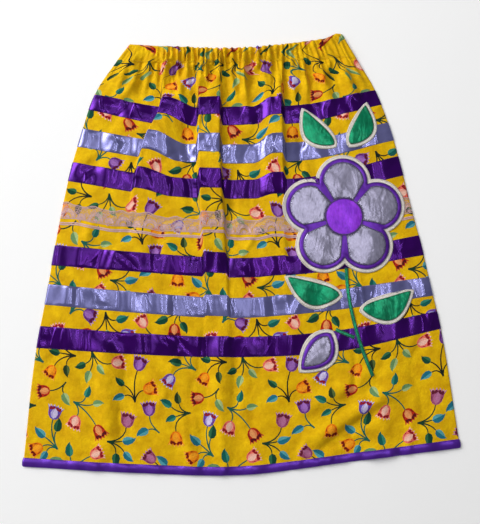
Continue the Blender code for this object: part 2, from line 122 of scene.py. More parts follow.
# (x, y of the upper end, x, y of the lower end, half width, height)
CREASES = (
    (-183, 366, -245, 285, 9, 3.0),
    (-211, 378, -273, 301, 10, 2.0),
    (-131, 364, -118, 285, 7, 3.5),
    (-109, 364, -101, 290, 6, 2.5),
    (-19, 364, -11, 280, 7, 3.0),
    (2, 366, 10, 262, 8, 4.0),
    (96, 364, 107, 285, 8, 4.0),
    (120, 364, 139, 280, 8, 3.0),
    (148, 366, 182, 275, 9, 4.0),
    (176, 374, 246, 277, 9, 4.5),
    (206, 384, 258, 293, 9, 3.0),
    (-40, -175, -38, -420, 15, 2.2),
    (-71, -165, -75, -405, 10, -2.4),
    (-13, -195, -10, -335, 9, -1.8),
    (12, -246, 78, -288, 10, -2.2),
    (-259, -180, -248, -411, 20, 2.4),
    (-215, -190, -221, -395, 12, -1.8),
    (288, -275, 120, -372, 17, 3.2),
    (262, -304, 128, -398, 11, -2.6),
    (232, -250, 100, -318, 14, 2.6),
    (330, -200, 352, -350, 13, -2.2),
    (-160, 20, -172, -40, 9, -2.0),
    (-15, 150, -30, -60, 10, -2.2),
    (112, 230, 118, 130, 9, -2.2),
    (-110, 235, -95, 60, 10, -2.0),
)
# Scattered creases: (how many, down from, down to, shortest, longest, half width, height, spread in degrees)
SCATTERED = {
    "field": (150, 60, 800, 26, 110, (4, 12), (0.6, 2.3), 30),
    "casing": (80, -4, 20, 8, 28, (1.4, 3.2), (0.5, 1.6), 16),
    "below the seam": (70, 26, 38, 30, 105, (3.4, 9.0), (1.0, 3.0), 14),
}
CREASE_DEPTH = 2.1

# node: (section, kind)
BANDS = {
    "ribbon_purple_1": ("ribbon_1", "purple"),
    "ribbon_lavender_2": ("ribbon_2", "lavender"),
    "ribbon_purple_3": ("ribbon_3", "purple"),
    "lace_band_4": ("lace", "lace"),
    "ribbon_purple_5": ("ribbon_5", "purple"),
    "ribbon_lavender_6": ("ribbon_6", "lavender"),
    "ribbon_purple_7": ("ribbon_7", "purple"),
}
# The lace's scallops repeat at this pitch. Below its net is a stretch of cords alone.
LACE_REPEAT = 54.33
LACE_CORDED = 12.0

# The applique, as in the solids.
FLOWER_CENTRE = (197, 56)
PETALS = 5
PETAL_REACH = 68
PETAL_RADIUS = 47
PETAL_GAP = 0.11
FLOWER_DISC = 36
BACKING_RIM = 7
BORDER_RIM = 8
LEAVES = {
    "leaf_1": (180, 199, 122, 268, 20, 12),
    "leaf_2": (212, 200, 244, 280, 20, -12),
    "leaf_3": (186, -96, 88, -62, 22, 14),
    "leaf_4": (229, -124, 322, -88, 22, -16),
}
BUD = (168, -168, 112, -236, 27, 6)
STEMS = {
    "stem_main": ((200, -44), (211, -140), (246, -248)),
    "stem_bud": ((213, -176), (196, -169), (178, -161)),
}
STEM_WIDTH = 7


def colour(red, green, blue):
    """A display colour from 0 to 255 as the linear colour that materials take."""
    values = []
    for value in (red, green, blue):
        share = value / 255
        values.append(share / 12.92 if share <= 0.04045 else ((share + 0.055) / 1.055) ** 2.4)
    return tuple(values)


# Printed tulips: (outer petals, front petal, throat, frilled tips), and leaves: (shaded half, light half).
TULIPS = {
    "orange": (colour(228, 118, 8), colour(246, 160, 30), colour(112, 22, 12), colour(240, 170, 70)),
    "rust": (colour(178, 42, 18), colour(224, 148, 88), colour(86, 16, 22), colour(206, 84, 52)),
    "coral": (colour(228, 108, 92), colour(240, 188, 168), colour(142, 22, 30), colour(246, 196, 186)),
    "mauve": (colour(150, 72, 108), colour(178, 108, 146), colour(96, 26, 46), colour(206, 146, 186)),
    "violet": (colour(98, 78, 176), colour(208, 196, 230), colour(142, 26, 34), colour(214, 204, 236)),
    "purple": (colour(106, 54, 136), colour(156, 104, 182), colour(88, 18, 42), colour(196, 156, 214)),
}
FOLIAGE = {
    "dark": (colour(16, 66, 48), colour(46, 104, 70)),
    "teal": (colour(16, 92, 82), colour(48, 130, 112)),
    "blue": (colour(30, 108, 128), colour(82, 156, 166)),
    "sage": (colour(104, 142, 92), colour(168, 190, 128)),
    "olive": (colour(36, 56, 30), colour(84, 104, 54)),
}
STEM_COLOURS = {
    "dark": colour(22, 58, 42),
    "teal": colour(26, 96, 84),
    "black": colour(22, 34, 28),
}


def smooth(position, stations, values):
    """Read a smooth curve through a short table of values."""
    stations = np.asarray(stations, float)
    values = np.asarray(values, float)
    slopes = np.gradient(values, stations)
    at = np.clip(position, stations[0], stations[-1])
    span = np.clip(np.searchsorted(stations, at, side="right") - 1, 0, len(stations) - 2)
    width = stations[span + 1] - stations[span]
    step = (at - stations[span]) / width
    rise = values[span + 1] - values[span]
    start = slopes[span] * width
    end = slopes[span + 1] * width
    bend = 3 * rise - 2 * start - end + step * (start + end - 2 * rise)
    return values[span] + step * (start + step * bend)


def ease(position, start, end):
    """Rise smoothly from 0 at start to 1 at end."""
    step = np.clip((position - start) / (end - start), 0, 1)
    return step * step * (3 - 2 * step)


def ridge(position, width):
    """A rounded ridge of height 1 at 0, which fades within a width on both sides."""
    return np.exp(-((position / width) ** 2))


def section(column, down):
    """A column of the table of sections, read at a distance down."""
    rows = tuple(SECTIONS.values())
    return smooth(down, [row[0] for row in rows], [row[column] for row in rows])


def section_y(shares, down):
    """The y of places across one row, by their shares of its width."""
    return smooth(shares, STATIONS, [float(section(column, down)) for column in range(3, 8)])


def fold_value(table, fold, down):
    """One large fold's place or strength at a distance down."""
    return smooth(down, [SECTIONS[name][0] for name in FOLD_SECTIONS], table[fold])


def bunch_rise(x, down):
    """How far the bunched casing reaches up."""
    return BUNCH_RISE * (1 - ease(down, 0.3 * SEAM, 1.6 * SEAM)) * ridge(x - BUNCH_X, BUNCH_WIDTH)


def band_edges(place):
    """Where a band starts, its middle, and where it ends, as distances down."""
    centre = SECTIONS[place][0]
    half = (LACE_WIDTH if place == "lace" else RIBBON_WIDTH) / 2
    return centre - half, centre, centre + half


def between(table, row, column):
    """Read a table of numbers or points at places between its rows and columns."""
    low = np.clip(row.astype(int), 0, table.shape[0] - 2)
    left = np.clip(column.astype(int), 0, table.shape[1] - 2)
    down, along = row - low, column - left
    if table.ndim == 3:
        down, along = down[..., None], along[..., None]
    upper = table[low, left] * (1 - along) + table[low, left + 1] * along
    lower = table[low + 1, left] * (1 - along) + table[low + 1, left + 1] * along
    return upper * (1 - down) + lower * down


def column_places(down):
    """The x of each trough between two gathers at one distance down the cloth."""
    sides = {"left edge": 1, "right edge": 2}
    lines = []
    for name, corner, count in COLUMN_LINES:
        if name in sides:
            place = section(sides[name], down)
        else:
            place = fold_value(PATHS, name, down) + FOLDS[name][corner]
        lines.append((float(place), count))
    places = [lines[0][0]]
    for (start, count), (end, _) in zip(lines, lines[1:]):
        places += [start + (end - start) * (step + 1) / count for step in range(count)]
    return np.array(places)


def gather_wave(x, down):
    """Rounded gathers between the troughs, each with its own height, lean and length below the seam."""
    places = column_places(down)
    column = np.interp(x, places, np.arange(len(places)))
    cell = np.clip(column.astype(int), 0, len(places) - 2)
    spacing = np.diff(places)[cell] / 2
    index = 2 * cell + 1
    uneven = 0.62 + 0.38 * np.sin(2.39 * index) * np.cos(0.7 * index)
    lean = 1 + 0.4 * np.sin(1.7 * cell + down / 26)
    share = (column - cell) ** lean
    across = (x - places[0]) / (places[-1] - places[0])
    drawn = (0.15 + 0.85 * ease(across, 0.1, 0.24)) * (1 - 0.45 * ease(across, 0.86, 0.94))
    reach = np.clip(38 + 26 * np.sin(1.9 * cell + 0.8) + 16 * np.sin(0.9 * cell), 14, 80)
    fade = 1 - ease(down, SEAM, SEAM + reach)
    crest = np.sin(math.pi * share) ** 2
    second = SECOND_CREST * np.sin(2 * math.pi * share) ** 2 * np.sin(3.1 * cell + down / 11)
    return 2 * GATHER_STEEPNESS * spacing * uneven * drawn * (crest + second) * fade


def casing_swell(down):
    """The elastic casing is thin at its folded top edge and at its stitched seam."""
    return smooth(down, (0, 0.15 * SEAM, 0.5 * SEAM, SEAM, 1.5 * SEAM), (0.35, 0.8, 1.0, 0.6, 1.0))


def crease_height(x, y, crease):
    """The height that one crease adds: a soft ridge or trough with tapered ends."""
    top_x, top_y, low_x, low_y, half_width, rise = crease
    along_x, along_y = low_x - top_x, low_y - top_y
    length = math.hypot(along_x, along_y)
    along = ((x - top_x) * along_x + (y - top_y) * along_y) / length
    across = ((x - top_x) * along_y - (y - top_y) * along_x) / length
    lead = min(25, length / 3)
    ends = ease(along, -lead, lead) * (1 - ease(along, length - 1.8 * lead, length + 0.4 * lead))
    return CREASE_DEPTH * rise * ends * np.exp(-((across / half_width) ** 2))


def scattered_creases():
    """Many faint creases, mostly running down the cloth as folds do, and fanning out with its flare."""
    draw = random.Random(11)
    creases = []
    for count, low, high, shortest, longest, half_widths, rises, spread in SCATTERED.values():
        for _ in range(count):
            down = draw.uniform(low, high)
            place = draw.uniform(0.04, 0.96)
            left, right = float(section(1, down)), float(section(2, down))
            x = left + (right - left) * place
            y = 399 - down + draw.uniform(-10, 20) * (low > 40)
            turn = math.radians(draw.gauss(0, spread)) + (place - 0.5) * 0.5
            length = draw.uniform(shortest, longest)
            half_width = draw.uniform(*half_widths)
            rise = draw.choice((-1, 1)) * draw.uniform(*rises) * half_width / half_widths[1]
            end_x, end_y = x + length * math.sin(turn), y - length * math.cos(turn)
            creases.append((x, y, end_x, end_y, half_width, rise))
    return creases


# Long low swells of the cloth: (waves per metre across, down, phase, height).
SWELLS = (
    (9.1, 2.3, 0.4, 0.5),
    (4.7, -6.1, 2.1, 0.6),
    (17.3, 5.2, 4.0, 0.28),
    (11.9, -13.7, 1.2, 0.25),
    (26.0, 8.0, 5.1, 0.14),
)
# Stitching draws the cloth into small puckers: (mm across for each radian, shift from band to band, height).
PUCKERS = ((2.9, 1.0, 0.11), (4.7, 2.3, 0.088))
PUCKER_REACH = 5.0
# The casing puffs up between its edges, and its stitched seam is a narrow trough.
CASING_PUFF = 0.9
STITCHED_WIDTH = 1.6
# A fold's side narrower than this is steep, and takes up more cloth.
STEEP_SIDE = 15.0
STEEP_TAKE_UP = 1.6


def resting_height(edge, down):
    """How high the front lies over the back, by the distance from its side fold."""
    lowest = CASING_BACK_TOP + (CLOTH_WALL - CASING_BACK_TOP) * ease(down, SEAM, SEAM + 30)
    wall = CASING_WALL + (CLOTH_WALL - CASING_WALL) * ease(down, SEAM - 1, SEAM)
    pillow = smooth(down, [SECTIONS[name][0] for name in PILLOW_HEIGHTS], list(PILLOW_HEIGHTS.values()))
    return lowest + SEAM_GAP + wall + pillow * (1 - np.exp(-edge / PILLOW_EDGE))


def swell_height(x, down):
    """The long low swells at places across one row."""
    turns = 2 * math.pi / 1000
    return sum(height * np.sin(turns * (ax * x + ad * down) + phase) for ax, ad, phase, height in SWELLS)


def pucker_height(x, down):
    """The puckers beside the stitched edges of the bands, at places across one row."""
    total = np.zeros_like(x)
    for place, _ in BANDS.values():
        for edge_down in band_edges(place)[::2]:
            near = ridge(down - edge_down, PUCKER_REACH)
            if near > 0.01:
                for wave, shift, height in PUCKERS:
                    total += near * height * np.sin(x / wave + shift * edge_down)
    return total


class Cloth:
    """The laid front as a table: where each place of the cut cloth lies, and which way it faces."""

    SAMPLES = 1500
    EDGE_SHARE = 0.012
    WIDTH_REACH = 14.0

    def __init__(self):
        """Lay the rows, crease them, and read each again at even steps along its own length."""
        self.downs = np.concatenate((
            np.arange(0, 6, 0.5),
            np.arange(6, 111, 1.5),
            np.arange(111, 826, 3.0),
            (826, 827),
        ))
        near_edge = np.linspace(0, self.EDGE_SHARE, 24)[:-1]
        inner = np.linspace(self.EDGE_SHARE, 1 - self.EDGE_SHARE, 1300)
        shares = np.concatenate((near_edge, inner, 1 - near_edge[::-1]))
        rows = [self.row(down, shares) for down in self.downs]
        places = np.array([row[0] for row in rows])
        weights = np.array([row[1] for row in rows])
        for crease in CREASES + tuple(scattered_creases()):
            self.add_crease(places, crease)
        self.flatten_rims(places)
        lengths = []
        for row, weight in zip(places, weights):
            steps = np.linalg.norm(np.diff(row[:, (0, 2)], axis=0), axis=1) * (weight[1:] + weight[:-1]) / 2
            lengths.append(np.concatenate(((0,), np.cumsum(steps))))
        apart = self.downs[:, None] - self.downs[None, :]
        near = ridge(apart, self.WIDTH_REACH) * np.gradient(self.downs)
        self.widths = near @ np.array([length[-1] for length in lengths]) / near.sum(axis=1)
        even = np.linspace(0, 1, self.SAMPLES)
        self.points = np.empty((len(self.downs), self.SAMPLES, 3))
        for index, (row, length) in enumerate(zip(places, lengths)):
            for axis in range(3):
                self.points[index, :, axis] = np.interp(even, length / length[-1], row[:, axis])
        along = np.gradient(self.points, axis=1)
        downwards = np.gradient(self.points, self.downs, axis=0)
        normals = np.cross(downwards, along)
        self.normals = normals / np.linalg.norm(normals, axis=2)[:, :, None]

    def width(self, down):
        """How wide the cut cloth is at one distance down."""
        return np.interp(down, self.downs, self.widths)

    def cut_edges(self, down):
        """Where the cut cloth starts and ends across, at one distance down."""
        half = float(self.width(down)) / 2
        return CLOTH_MIDDLE - half, CLOTH_MIDDLE + half

    def area(self, low, high):
        """Square metres of cut cloth between two distances down."""
        downs = np.linspace(low, high, 60)
        return float(np.mean(self.width(downs))) * (high - low) * MM * MM

    def row(self, down, shares):
        """One row of the front without its creases, and how much cloth is taken up at each place."""
        left, right = float(section(1, down)), float(section(2, down))
        x = left + (right - left) * shares
        edge = np.minimum(x - left, right - x)
        wave = gather_wave(x, down)
        y = section_y(shares, down) + bunch_rise(x, down) + 0.16 * wave * (1 - ease(down, 2, 14))
        puffed = CASING_PUFF * math.sin(math.pi * min(down / SEAM, 1))
        z = resting_height(edge, down) + wave * casing_swell(down) + puffed
        z = z - ridge(down - SEAM, STITCHED_WIDTH) * (0.8 + 0.12 * wave)
        weight = np.ones_like(x)
        for fold, (left_foot, left_crest, right_crest, right_foot, height, pull) in FOLDS.items():
            offset = x - fold_value(PATHS, fold, down)
            strength = np.clip(fold_value(STRENGTHS, fold, down), 0, 1)
            share = ease(offset, left_foot, left_crest) * (1 - ease(offset, right_crest, right_foot))
            share = share * strength
            z = z + height * share * ease(down, 0, SEAM)
            y = y + pull * share * ease(down, SEAM, SEAM + 95)
            for foot, crest in ((left_foot, left_crest), (right_foot, right_crest)):
                if abs(foot - crest) < STEEP_SIDE:
                    within = (offset > min(foot, crest)) & (offset < max(foot, crest))
                    weight = weight + STEEP_TAKE_UP * strength * within
        z = z + swell_height(x, down) * ease(edge, 4, 60) * ease(down, SEAM, 120)
        z = z + pucker_height(x, down) * ease(edge, 2, 12)
        return np.column_stack((x, y, z)), weight

    @staticmethod
    def add_crease(places, crease):
        """Raise or lower the places near one crease."""
        reach = 4 * crease[4] + 30
        low_x, high_x = min(crease[0], crease[2]) - reach, max(crease[0], crease[2]) + reach
        low_y, high_y = min(crease[1], crease[3]) - reach, max(crease[1], crease[3]) + reach
        x, y = places[:, :, 0], places[:, :, 1]
        near = (x > low_x) & (x < high_x) & (y > low_y) & (y < high_y)
        left, right = x[:, :1], x[:, -1:]
        edge = np.minimum(x - left, right - x)[near]
        places[:, :, 2][near] += crease_height(x[near], y[near], crease) * ease(edge, 0, 30)

    def flatten_rims(self, places):
        """Turn the cloth down over its side folds and over the casing's top edge."""
        x = places[:, :, 0]
        edge = np.minimum(x - x[:, :1], x[:, -1:] - x)
        side = np.sqrt(1 - (1 - np.clip(edge / SIDE_FOLD, 0, 1)) ** 2)
        top = np.sqrt(1 - (1 - np.clip(self.downs / TOP_FOLD, 0, 1)) ** 2)[:, None]
        above = np.maximum(places[:, :, 2], FRONT_LEAST) - RIM_HEIGHT
        places[:, :, 2] = RIM_HEIGHT + above * side * (0.3 + 0.7 * top)

    def spot(self, across, down, lift=0.0):
        """Where places of the cut cloth lie, moved out by lift, and which way they face."""
        across, down, lift = np.broadcast_arrays(np.asarray(across, float), down, lift)
        row = np.interp(down, self.downs, np.arange(len(self.downs)))
        share = np.clip(0.5 + (across - CLOTH_MIDDLE) / self.width(down), 0, 1)
        column = np.minimum(share * (self.SAMPLES - 1), self.SAMPLES - 1.001)
        points, normals = (between(table, row, column) for table in (self.points, self.normals))
        normals = normals / np.linalg.norm(normals, axis=-1)[..., None]
        return points + normals * lift[..., None] + SHIFT, normals

    def line(self, down, pitch, trim, places, lift):
        """Lines along the cloth, by the width at one distance down, with a few points left off each end."""
        across = np.arange(*self.cut_edges(down), pitch)[trim:-trim]
        return [self.spot(across, place, lift) for place in places]


def tulip_shapes(size):
    """A bell-shaped tulip from its stem upwards: outer petals, throat, frilled tips and front petal."""
    body = [(0, 0), (-5.6, 1.8), (-9.6, 6.6), (-11, 12.5), (-11.8, 18), (-15, 24.5)]
    frill = [(-10.6, 21.4), (-9, 26.4), (-6, 22.6), (-3.2, 27.6), (0, 23.4)]
    outer = body + frill + [(-x, y) for x, y in reversed((body + frill)[1:-1])]
    throat = [(0, 15), (-4.6, 18), (-9.6, 16), (-11, 20.6), (-8.6, 23.8), (-6, 20.8), (-3.2, 24.8), (0, 21.2)]
    throat += [(-x, y) for x, y in reversed(throat[1:-1])]
    front = [(0, 1.6), (-4.6, 5.4), (-6.4, 11), (-4.8, 16.6), (0, 21), (4.8, 16.6), (6.4, 11), (4.6, 5.4)]
    blush = [(0, 1.6), (1.6, 6), (2.2, 11.5), (1.2, 17), (0, 21), (4.8, 16.6), (6.4, 11), (4.6, 5.4)]
    shapes = [("body", outer), ("throat", throat)]
    for side in (-1, 1):
        shapes.append(("throat", [(side * x, y) for x, y in ((7.2, 5.4), (9.6, 11), (9.4, 14.6), (8, 10.6))]))
        shapes.append(("tip", [(side * 11.2, 19.8), (side * 14.8, 25), (side * 10.8, 22.6)]))
        for x, y in ((9, 26.4), (3.2, 27.6)):
            shapes.append(("tip", [(side * x - 1.6, y - 3.4), (side * x, y), (side * x + 1.6, y - 3.4)]))
    shapes += [("front", front), ("blush", blush)]
    return [(part, [(x * size, y * size) for x, y in outline]) for part, outline in shapes]


def leaf_shapes(size, side):
    """A pointed leaf in two tones on either side of its vein, curving to one side."""
    rib = [(0, 0), (0.7, 6), (1.6, 13), (3.4, 21)]
    left = [(-4.6, 3), (-6, 8), (-4, 14.5), (-0.6, 18.5)]
    right = [(2.4, 18.5), (4.6, 14), (5.8, 7.6), (4.4, 3)]
    shapes = (("shade", [rib[0]] + left + rib[:0:-1]), ("light", rib + right))
    return [(part, [(x * size * side, y * size) for x, y in outline]) for part, outline in shapes]


def turned(outline, x, y, angle):
    """Turn an outline that points along +Y to a compass angle, clockwise from +Y, and move it."""
    sine, cosine = math.sin(angle), math.cos(angle)
    return [(x + px * cosine + py * sine, y - px * sine + py * cosine) for px, py in outline]


def limb(x, y, angle, length, bend, width):
    """A curved stem: its outline, its end and the angle that it ends at."""
    steps = 6
    spine = []
    for step in range(steps + 1):
        share = step / steps
        way = angle + bend * share**1.5
        if step == 0:
            spine.append((x, y, way))
        else:
            px, py, _ = spine[-1]
            spine.append((px + math.sin(way) * length / steps, py + math.cos(way) * length / steps, way))
    left, right = [], []
    for step, (px, py, way) in enumerate(spine):
        half = width * (0.46 - 0.025 * step)
        left.append((px - math.cos(way) * half, py + math.sin(way) * half))
        right.append((px + math.cos(way) * half, py - math.sin(way) * half))
    return left + right[::-1], spine[-1]


# Sprigs of the print. Each limb: (degrees from the sprig's line, length, bend in degrees, what it ends in).
SPRIGS = {
    "spray": (
        (-9, 58, -50, "tulip"),
        (-6, 34, -58, "leaf"),
        (1, 32, 10, "leaf"),
        (6, 31, 66, "tulip"),
        (10, 24, 100, "leaf"),
    ),
    "branch": ((1, 60, -30, "tulip"), (-6, 30, -76, "tulip"), (5, 38, 42, "leaf"), (9, 27, 88, "leaf")),
    "hook": ((6, 50, 76, "tulip"), (-2, 38, -42, "leaf"), (-7, 29, -74, "leaf"), (2, 28, 12, "leaf")),
    "pair": ((-6, 46, -66, "tulip"), (5, 49, 60, "tulip"), (-1, 31, 4, "leaf"), (9, 27, 86, "leaf")),
    "bud": ((3, 36, -44, "tulip"), (-5, 22, 70, "leaf")),
}
# The sprigs of one repeat of the print: (sprig, tulips, leaves, stem).
REPEAT = 292.0
PRINT = (
    ("spray", ("violet", "orange"), ("blue", "dark"), "teal"),
    ("branch", ("purple", "orange"), ("dark", "blue"), "black"),
    ("pair", ("rust", "violet"), ("sage", "teal"), "black"),
    ("branch", ("rust", "coral"), ("sage", "teal"), "teal"),
    ("spray", ("mauve", "rust"), ("dark", "blue"), "dark"),
    ("pair", ("coral", "orange"), ("dark", "olive"), "black"),
    ("branch", ("coral", "purple"), ("teal", "sage"), "teal"),
    ("hook", ("coral",), ("dark", "sage"), "dark"),
    ("hook", ("mauve",), ("dark", "blue"), "dark"),
    ("hook", ("orange",), ("olive", "teal"), "dark"),
    ("hook", ("violet",), ("sage", "dark"), "teal"),
    ("bud", ("rust",), ("sage",), "dark"),
    ("bud", ("coral",), ("dark",), "dark"),
    ("bud", ("purple",), ("blue",), "teal"),
)


def sprig_rounds(kind):
    """Circles that cover a sprig standing at the origin: (x, y, radius)."""
    rounds = []
    for angle, length, bend, ending in SPRIGS[kind]:
        outline, (end_x, end_y, way) = limb(0, 0, math.radians(angle), length, math.radians(bend), 2)
        rounds += [(x, y, 3.0) for x, y in outline[2:6]]
        reach, radius = (15, 15.0) if ending == "tulip" else (13, 10.0)
        rounds.append((end_x + reach * math.sin(way), end_y + reach * math.cos(way), radius))
    return np.array(rounds)


def crowding(rounds, others):
    """How much circles at two sets of places crowd each other, across the repeat's edges too."""
    apart = np.abs(rounds[:, None, :2] - others[None, :, :2]) % REPEAT
    apart = np.minimum(apart, REPEAT - apart)
    wanted = rounds[:, None, 2] + others[None, :, 2] + 5
    return float((np.maximum(wanted - np.hypot(apart[:, :, 0], apart[:, :, 1]), 0) ** 2).sum())


def sprig_places():
    """Where each sprig of the repeat goes: in turn, each moves to the roomiest of many places."""
    draw = random.Random(21)
    rounds = [sprig_rounds(kind) for kind, *_ in PRINT]
    placed = {}
    for tries in (260, 160, 160, 160):
        for number, own in enumerate(rounds):
            others = [spots for other, (_, spots) in placed.items() if other != number]
            others = np.vstack(others) if others else np.empty((0, 3))
            best, least = None, 1e12
            if number in placed:
                best = placed[number]
                least = crowding(best[1], others)
            for attempt in range(tries):
                if best is None or attempt % 2:
                    place = tuple(draw.uniform(0, most) for most in (REPEAT, REPEAT, 2 * math.pi))
                else:
                    place = tuple(value + draw.gauss(0, stray) for value, stray in zip(best[0], (14, 14, 0.4)))
                moved = np.array(turned([tuple(spot) for spot in own[:, :2]], *place))
                spots = np.column_stack((moved, own[:, 2]))
                crowd = crowding(spots, others)
                if crowd < least:
                    best, least = (place, spots), crowd
            placed[number] = best
    return [placed[number][0] for number in range(len(PRINT))]


def sprig_shapes():
    """Every coloured shape of one repeat, those drawn last on top."""
    shapes = []
    for number, ((x, y, turn), (kind, tulips, leaves, stem)) in enumerate(zip(sprig_places(), PRINT)):
        blooms = []
        tulips = iter(tulips)
        for order, (angle, length, bend, ending) in enumerate(SPRIGS[kind]):
            start = turn + math.radians(angle)
            outline, (end_x, end_y, way) = limb(x, y, start, length, math.radians(bend), 3.3)
            shapes.append((STEM_COLOURS[stem], outline))
            if ending == "leaf":
                tones = dict(zip(("shade", "light"), FOLIAGE[leaves[order % len(leaves)]]))
                parts = leaf_shapes(1.2 + 0.12 * math.sin(3 * number + order), 1 if order % 2 else -1)
            else:
                tones = dict(zip(("body", "front", "throat", "tip"), TULIPS[next(tulips)]))
                tones["blush"] = tuple(0.35 * a + 0.65 * b for a, b in zip(tones["body"], tones["front"]))
                parts = tulip_shapes(1.04 + 0.06 * math.sin(number))
                end_x, end_y = end_x - math.sin(way), end_y - math.cos(way)
            blooms += [(tones[part], turned(outline, end_x, end_y, way)) for part, outline in parts]
        shapes += blooms
    return shapes


SPRIG_SHAPES = sprig_shapes()


def anticlockwise(outline):
    """The outline with its inside on the left, as the cutting of faces needs."""
    area = sum(ax * by - bx * ay for (ax, ay), (bx, by) in zip(outline, outline[1:] + outline[:1]))
    return outline if area > 0 else outline[::-1]


def cut_faces(points, outlines, whole):
    """Triangles within the whole outline, with the numbers of the outlines that each lies in."""
    vertices = [Vector(place) for place in points]
    faces = []
    for outline in outlines + [whole]:
        ring = anticlockwise(outline)
        faces.append(list(range(len(vertices), len(vertices) + len(ring))))
        vertices += [Vector(place) for place in ring]
    places, _, triangles, _, _, sources = delaunay_2d_cdt(vertices, [], faces, 0, 1e-3)
    places = np.array([(place.x, place.y) for place in places])
    last = len(outlines)
    kept, layers = [], []
    for triangle, source in zip(triangles, sources):
        (ax, ay), (bx, by), (cx, cy) = places[list(triangle)]
        area = (bx - ax) * (cy - ay) - (by - ay) * (cx - ax)
        if last in source and abs(area) > 1e-5:
            kept.append(tuple(triangle) if area > 0 else tuple(reversed(triangle)))
            layers.append([number for number in source if number < last])
    return places, kept, layers


# Steps between the points of the flat back, of the gathered stretch and of the rest of the front.
FLAT_STEP, GATHERED_STEP, OPEN_STEP = 20, 1.8, 4.6
# Points near a sheet's sides, where it turns down: insets on the back and on the front.
FLAT_INSETS = (2.0,)
FRONT_INSETS = (0.4, 0.9, 1.5, 2.2, 3.0, 4.0)


def flipped(faces):
    """The same faces, turned to face the other way."""
    return [tuple(reversed(face)) for face in faces]


def sheet_rows(low, high):
    """Distances down for the sheet's own points: closer together where the cloth is gathered."""
    downs = [low]
    while downs[-1] < high:
        step = 1.2 if downs[-1] < 6 else 2.4 if downs[-1] < SEAM + GATHER_FADE else 5.0
        downs.append(downs[-1] + step if high - downs[-1] > 1.5 * step else high)
    return downs


def printed_sheet(cloth, low, high, flat=False):
    """Cut the print's outlines into the flat cloth, and give the colour of every face."""
    grid, left_edge, right_edge = [], [], []
    flat_rows = np.linspace(low, high, max(3, int((high - low) / FLAT_STEP)))
    rows = list(flat_rows) if flat else sheet_rows(low, high)
    near_edge = FLAT_INSETS if flat else FRONT_INSETS
    for down in rows:
        start, end = cloth.cut_edges(down)
        left_edge.append((start, down))
        right_edge.append((end, down))
        step = FLAT_STEP if flat else GATHERED_STEP if down < SEAM + GATHER_FADE else OPEN_STEP
        inner = np.linspace(start + 5, end - 5, int((end - start) / step))
        grid += [(float(across), down) for across in inner]
        grid += [(start + inset, down) for inset in near_edge] + [(end - inset, down) for inset in near_edge]
    whole = left_edge[:1] + right_edge + left_edge[:0:-1]
    outlines, tones = [], []
    shift = 0.4 * REPEAT if flat else 0.0
    widest = max(cloth.cut_edges(down)[1] for down in rows)
    for column, row in itertools.product(range(-1, 4), repeat=2):
        for tone, outline in SPRIG_SHAPES:
            moved = [(x + column * REPEAT + shift, y + row * REPEAT) for x, y in outline]
            if any(2 * CLOTH_MIDDLE - widest < a < widest and low < d < high for a, d in moved):
                outlines.append(moved)
                tones.append(tone)
    places, faces, layers = cut_faces(grid, outlines, whole)
    paints = [tones[max(found)] + (1.0,) if found else (0.0, 0.0, 0.0, 0.0) for found in layers]
    return places, flipped(faces), paints


def feed(tree, value, socket):
    """Set a socket to a value, or link another socket to it."""
    if isinstance(value, bpy.types.NodeSocket):
        tree.links.new(value, socket)
    elif isinstance(value, tuple) and socket.type == "RGBA":
        socket.default_value = (*value, 1.0)
    else:
        socket.default_value = value


def node(tree, kind, *given, **settings):
    """Add a shader node. Its inputs are given in turn or by name, as values or as sockets to link."""
    made = tree.nodes.new(kind)
    wanted = dict(enumerate(given))
    for name, value in settings.items():
        label = name.replace("_", " ")
        if label in made.inputs:
            wanted[label] = value
        else:
            setattr(made, name, value)
    for place, value in wanted.items():
        feed(tree, value, made.inputs[place])
    return made


def maths(tree, operation, *values):
    """The result of a calculation with numbers or sockets."""
    return node(tree, "ShaderNodeMath", *values, operation=operation).outputs[0]


def node_group(name, inputs, output):
    """A new shader node group with numbers going in and one coming out."""
    group = bpy.data.node_groups.new(name, "ShaderNodeTree")
    for label in inputs:
        group.interface.new_socket(label, in_out="INPUT", socket_type="NodeSocketFloat")
    group.interface.new_socket(output, in_out="OUTPUT", socket_type="NodeSocketFloat")
    given = group.nodes.new("NodeGroupInput").outputs
    result = group.nodes.new("NodeGroupOutput").inputs[output]
    return group, given, result


def weave_group():
    """Threads over and under each other on the piece's UV map, which is in metres."""
    group, given, height = node_group("woven threads", ("Threads per metre", "Slub"), "Height")
    uv = node(group, "ShaderNodeUVMap").outputs[0]
    split = node(group, "ShaderNodeSeparateXYZ", uv)
    turns = maths(group, "MULTIPLY", given["Threads per metre"], 2 * math.pi)
    waves = [maths(group, "SINE", maths(group, "MULTIPLY", split.outputs[axis], turns)) for axis in (0, 1)]
    crossings = maths(group, "MULTIPLY", *waves)
    noise = node(group, "ShaderNodeTexNoise", Vector=uv, Scale=900.0, Detail=2.0)
    slub = maths(group, "MULTIPLY", noise.outputs["Fac"], given["Slub"])
    feed(group, maths(group, "ADD", crossings, slub), height)
    return group


def blotch_group():
    """Soft blotches on the UV map between two values, as dye and print take unevenly."""
    group, given, value = node_group("soft blotches", ("Blotches per metre", "Least", "Most"), "Value")
    uv = node(group, "ShaderNodeUVMap").outputs[0]
    pitch = given["Blotches per metre"]
    noise = node(group, "ShaderNodeTexNoise", Vector=uv, Scale=pitch, Detail=4.0, Roughness=0.6).outputs["Fac"]
    spread = node(group, "ShaderNodeMapRange", Value=noise, From_Min=0.3, From_Max=0.7)
    feed(group, given["Least"], spread.inputs["To Min"])
    feed(group, given["Most"], spread.inputs["To Max"])
    feed(group, spread.outputs[0], value)
    return group


WEAVE = weave_group()
BLOTCH = blotch_group()


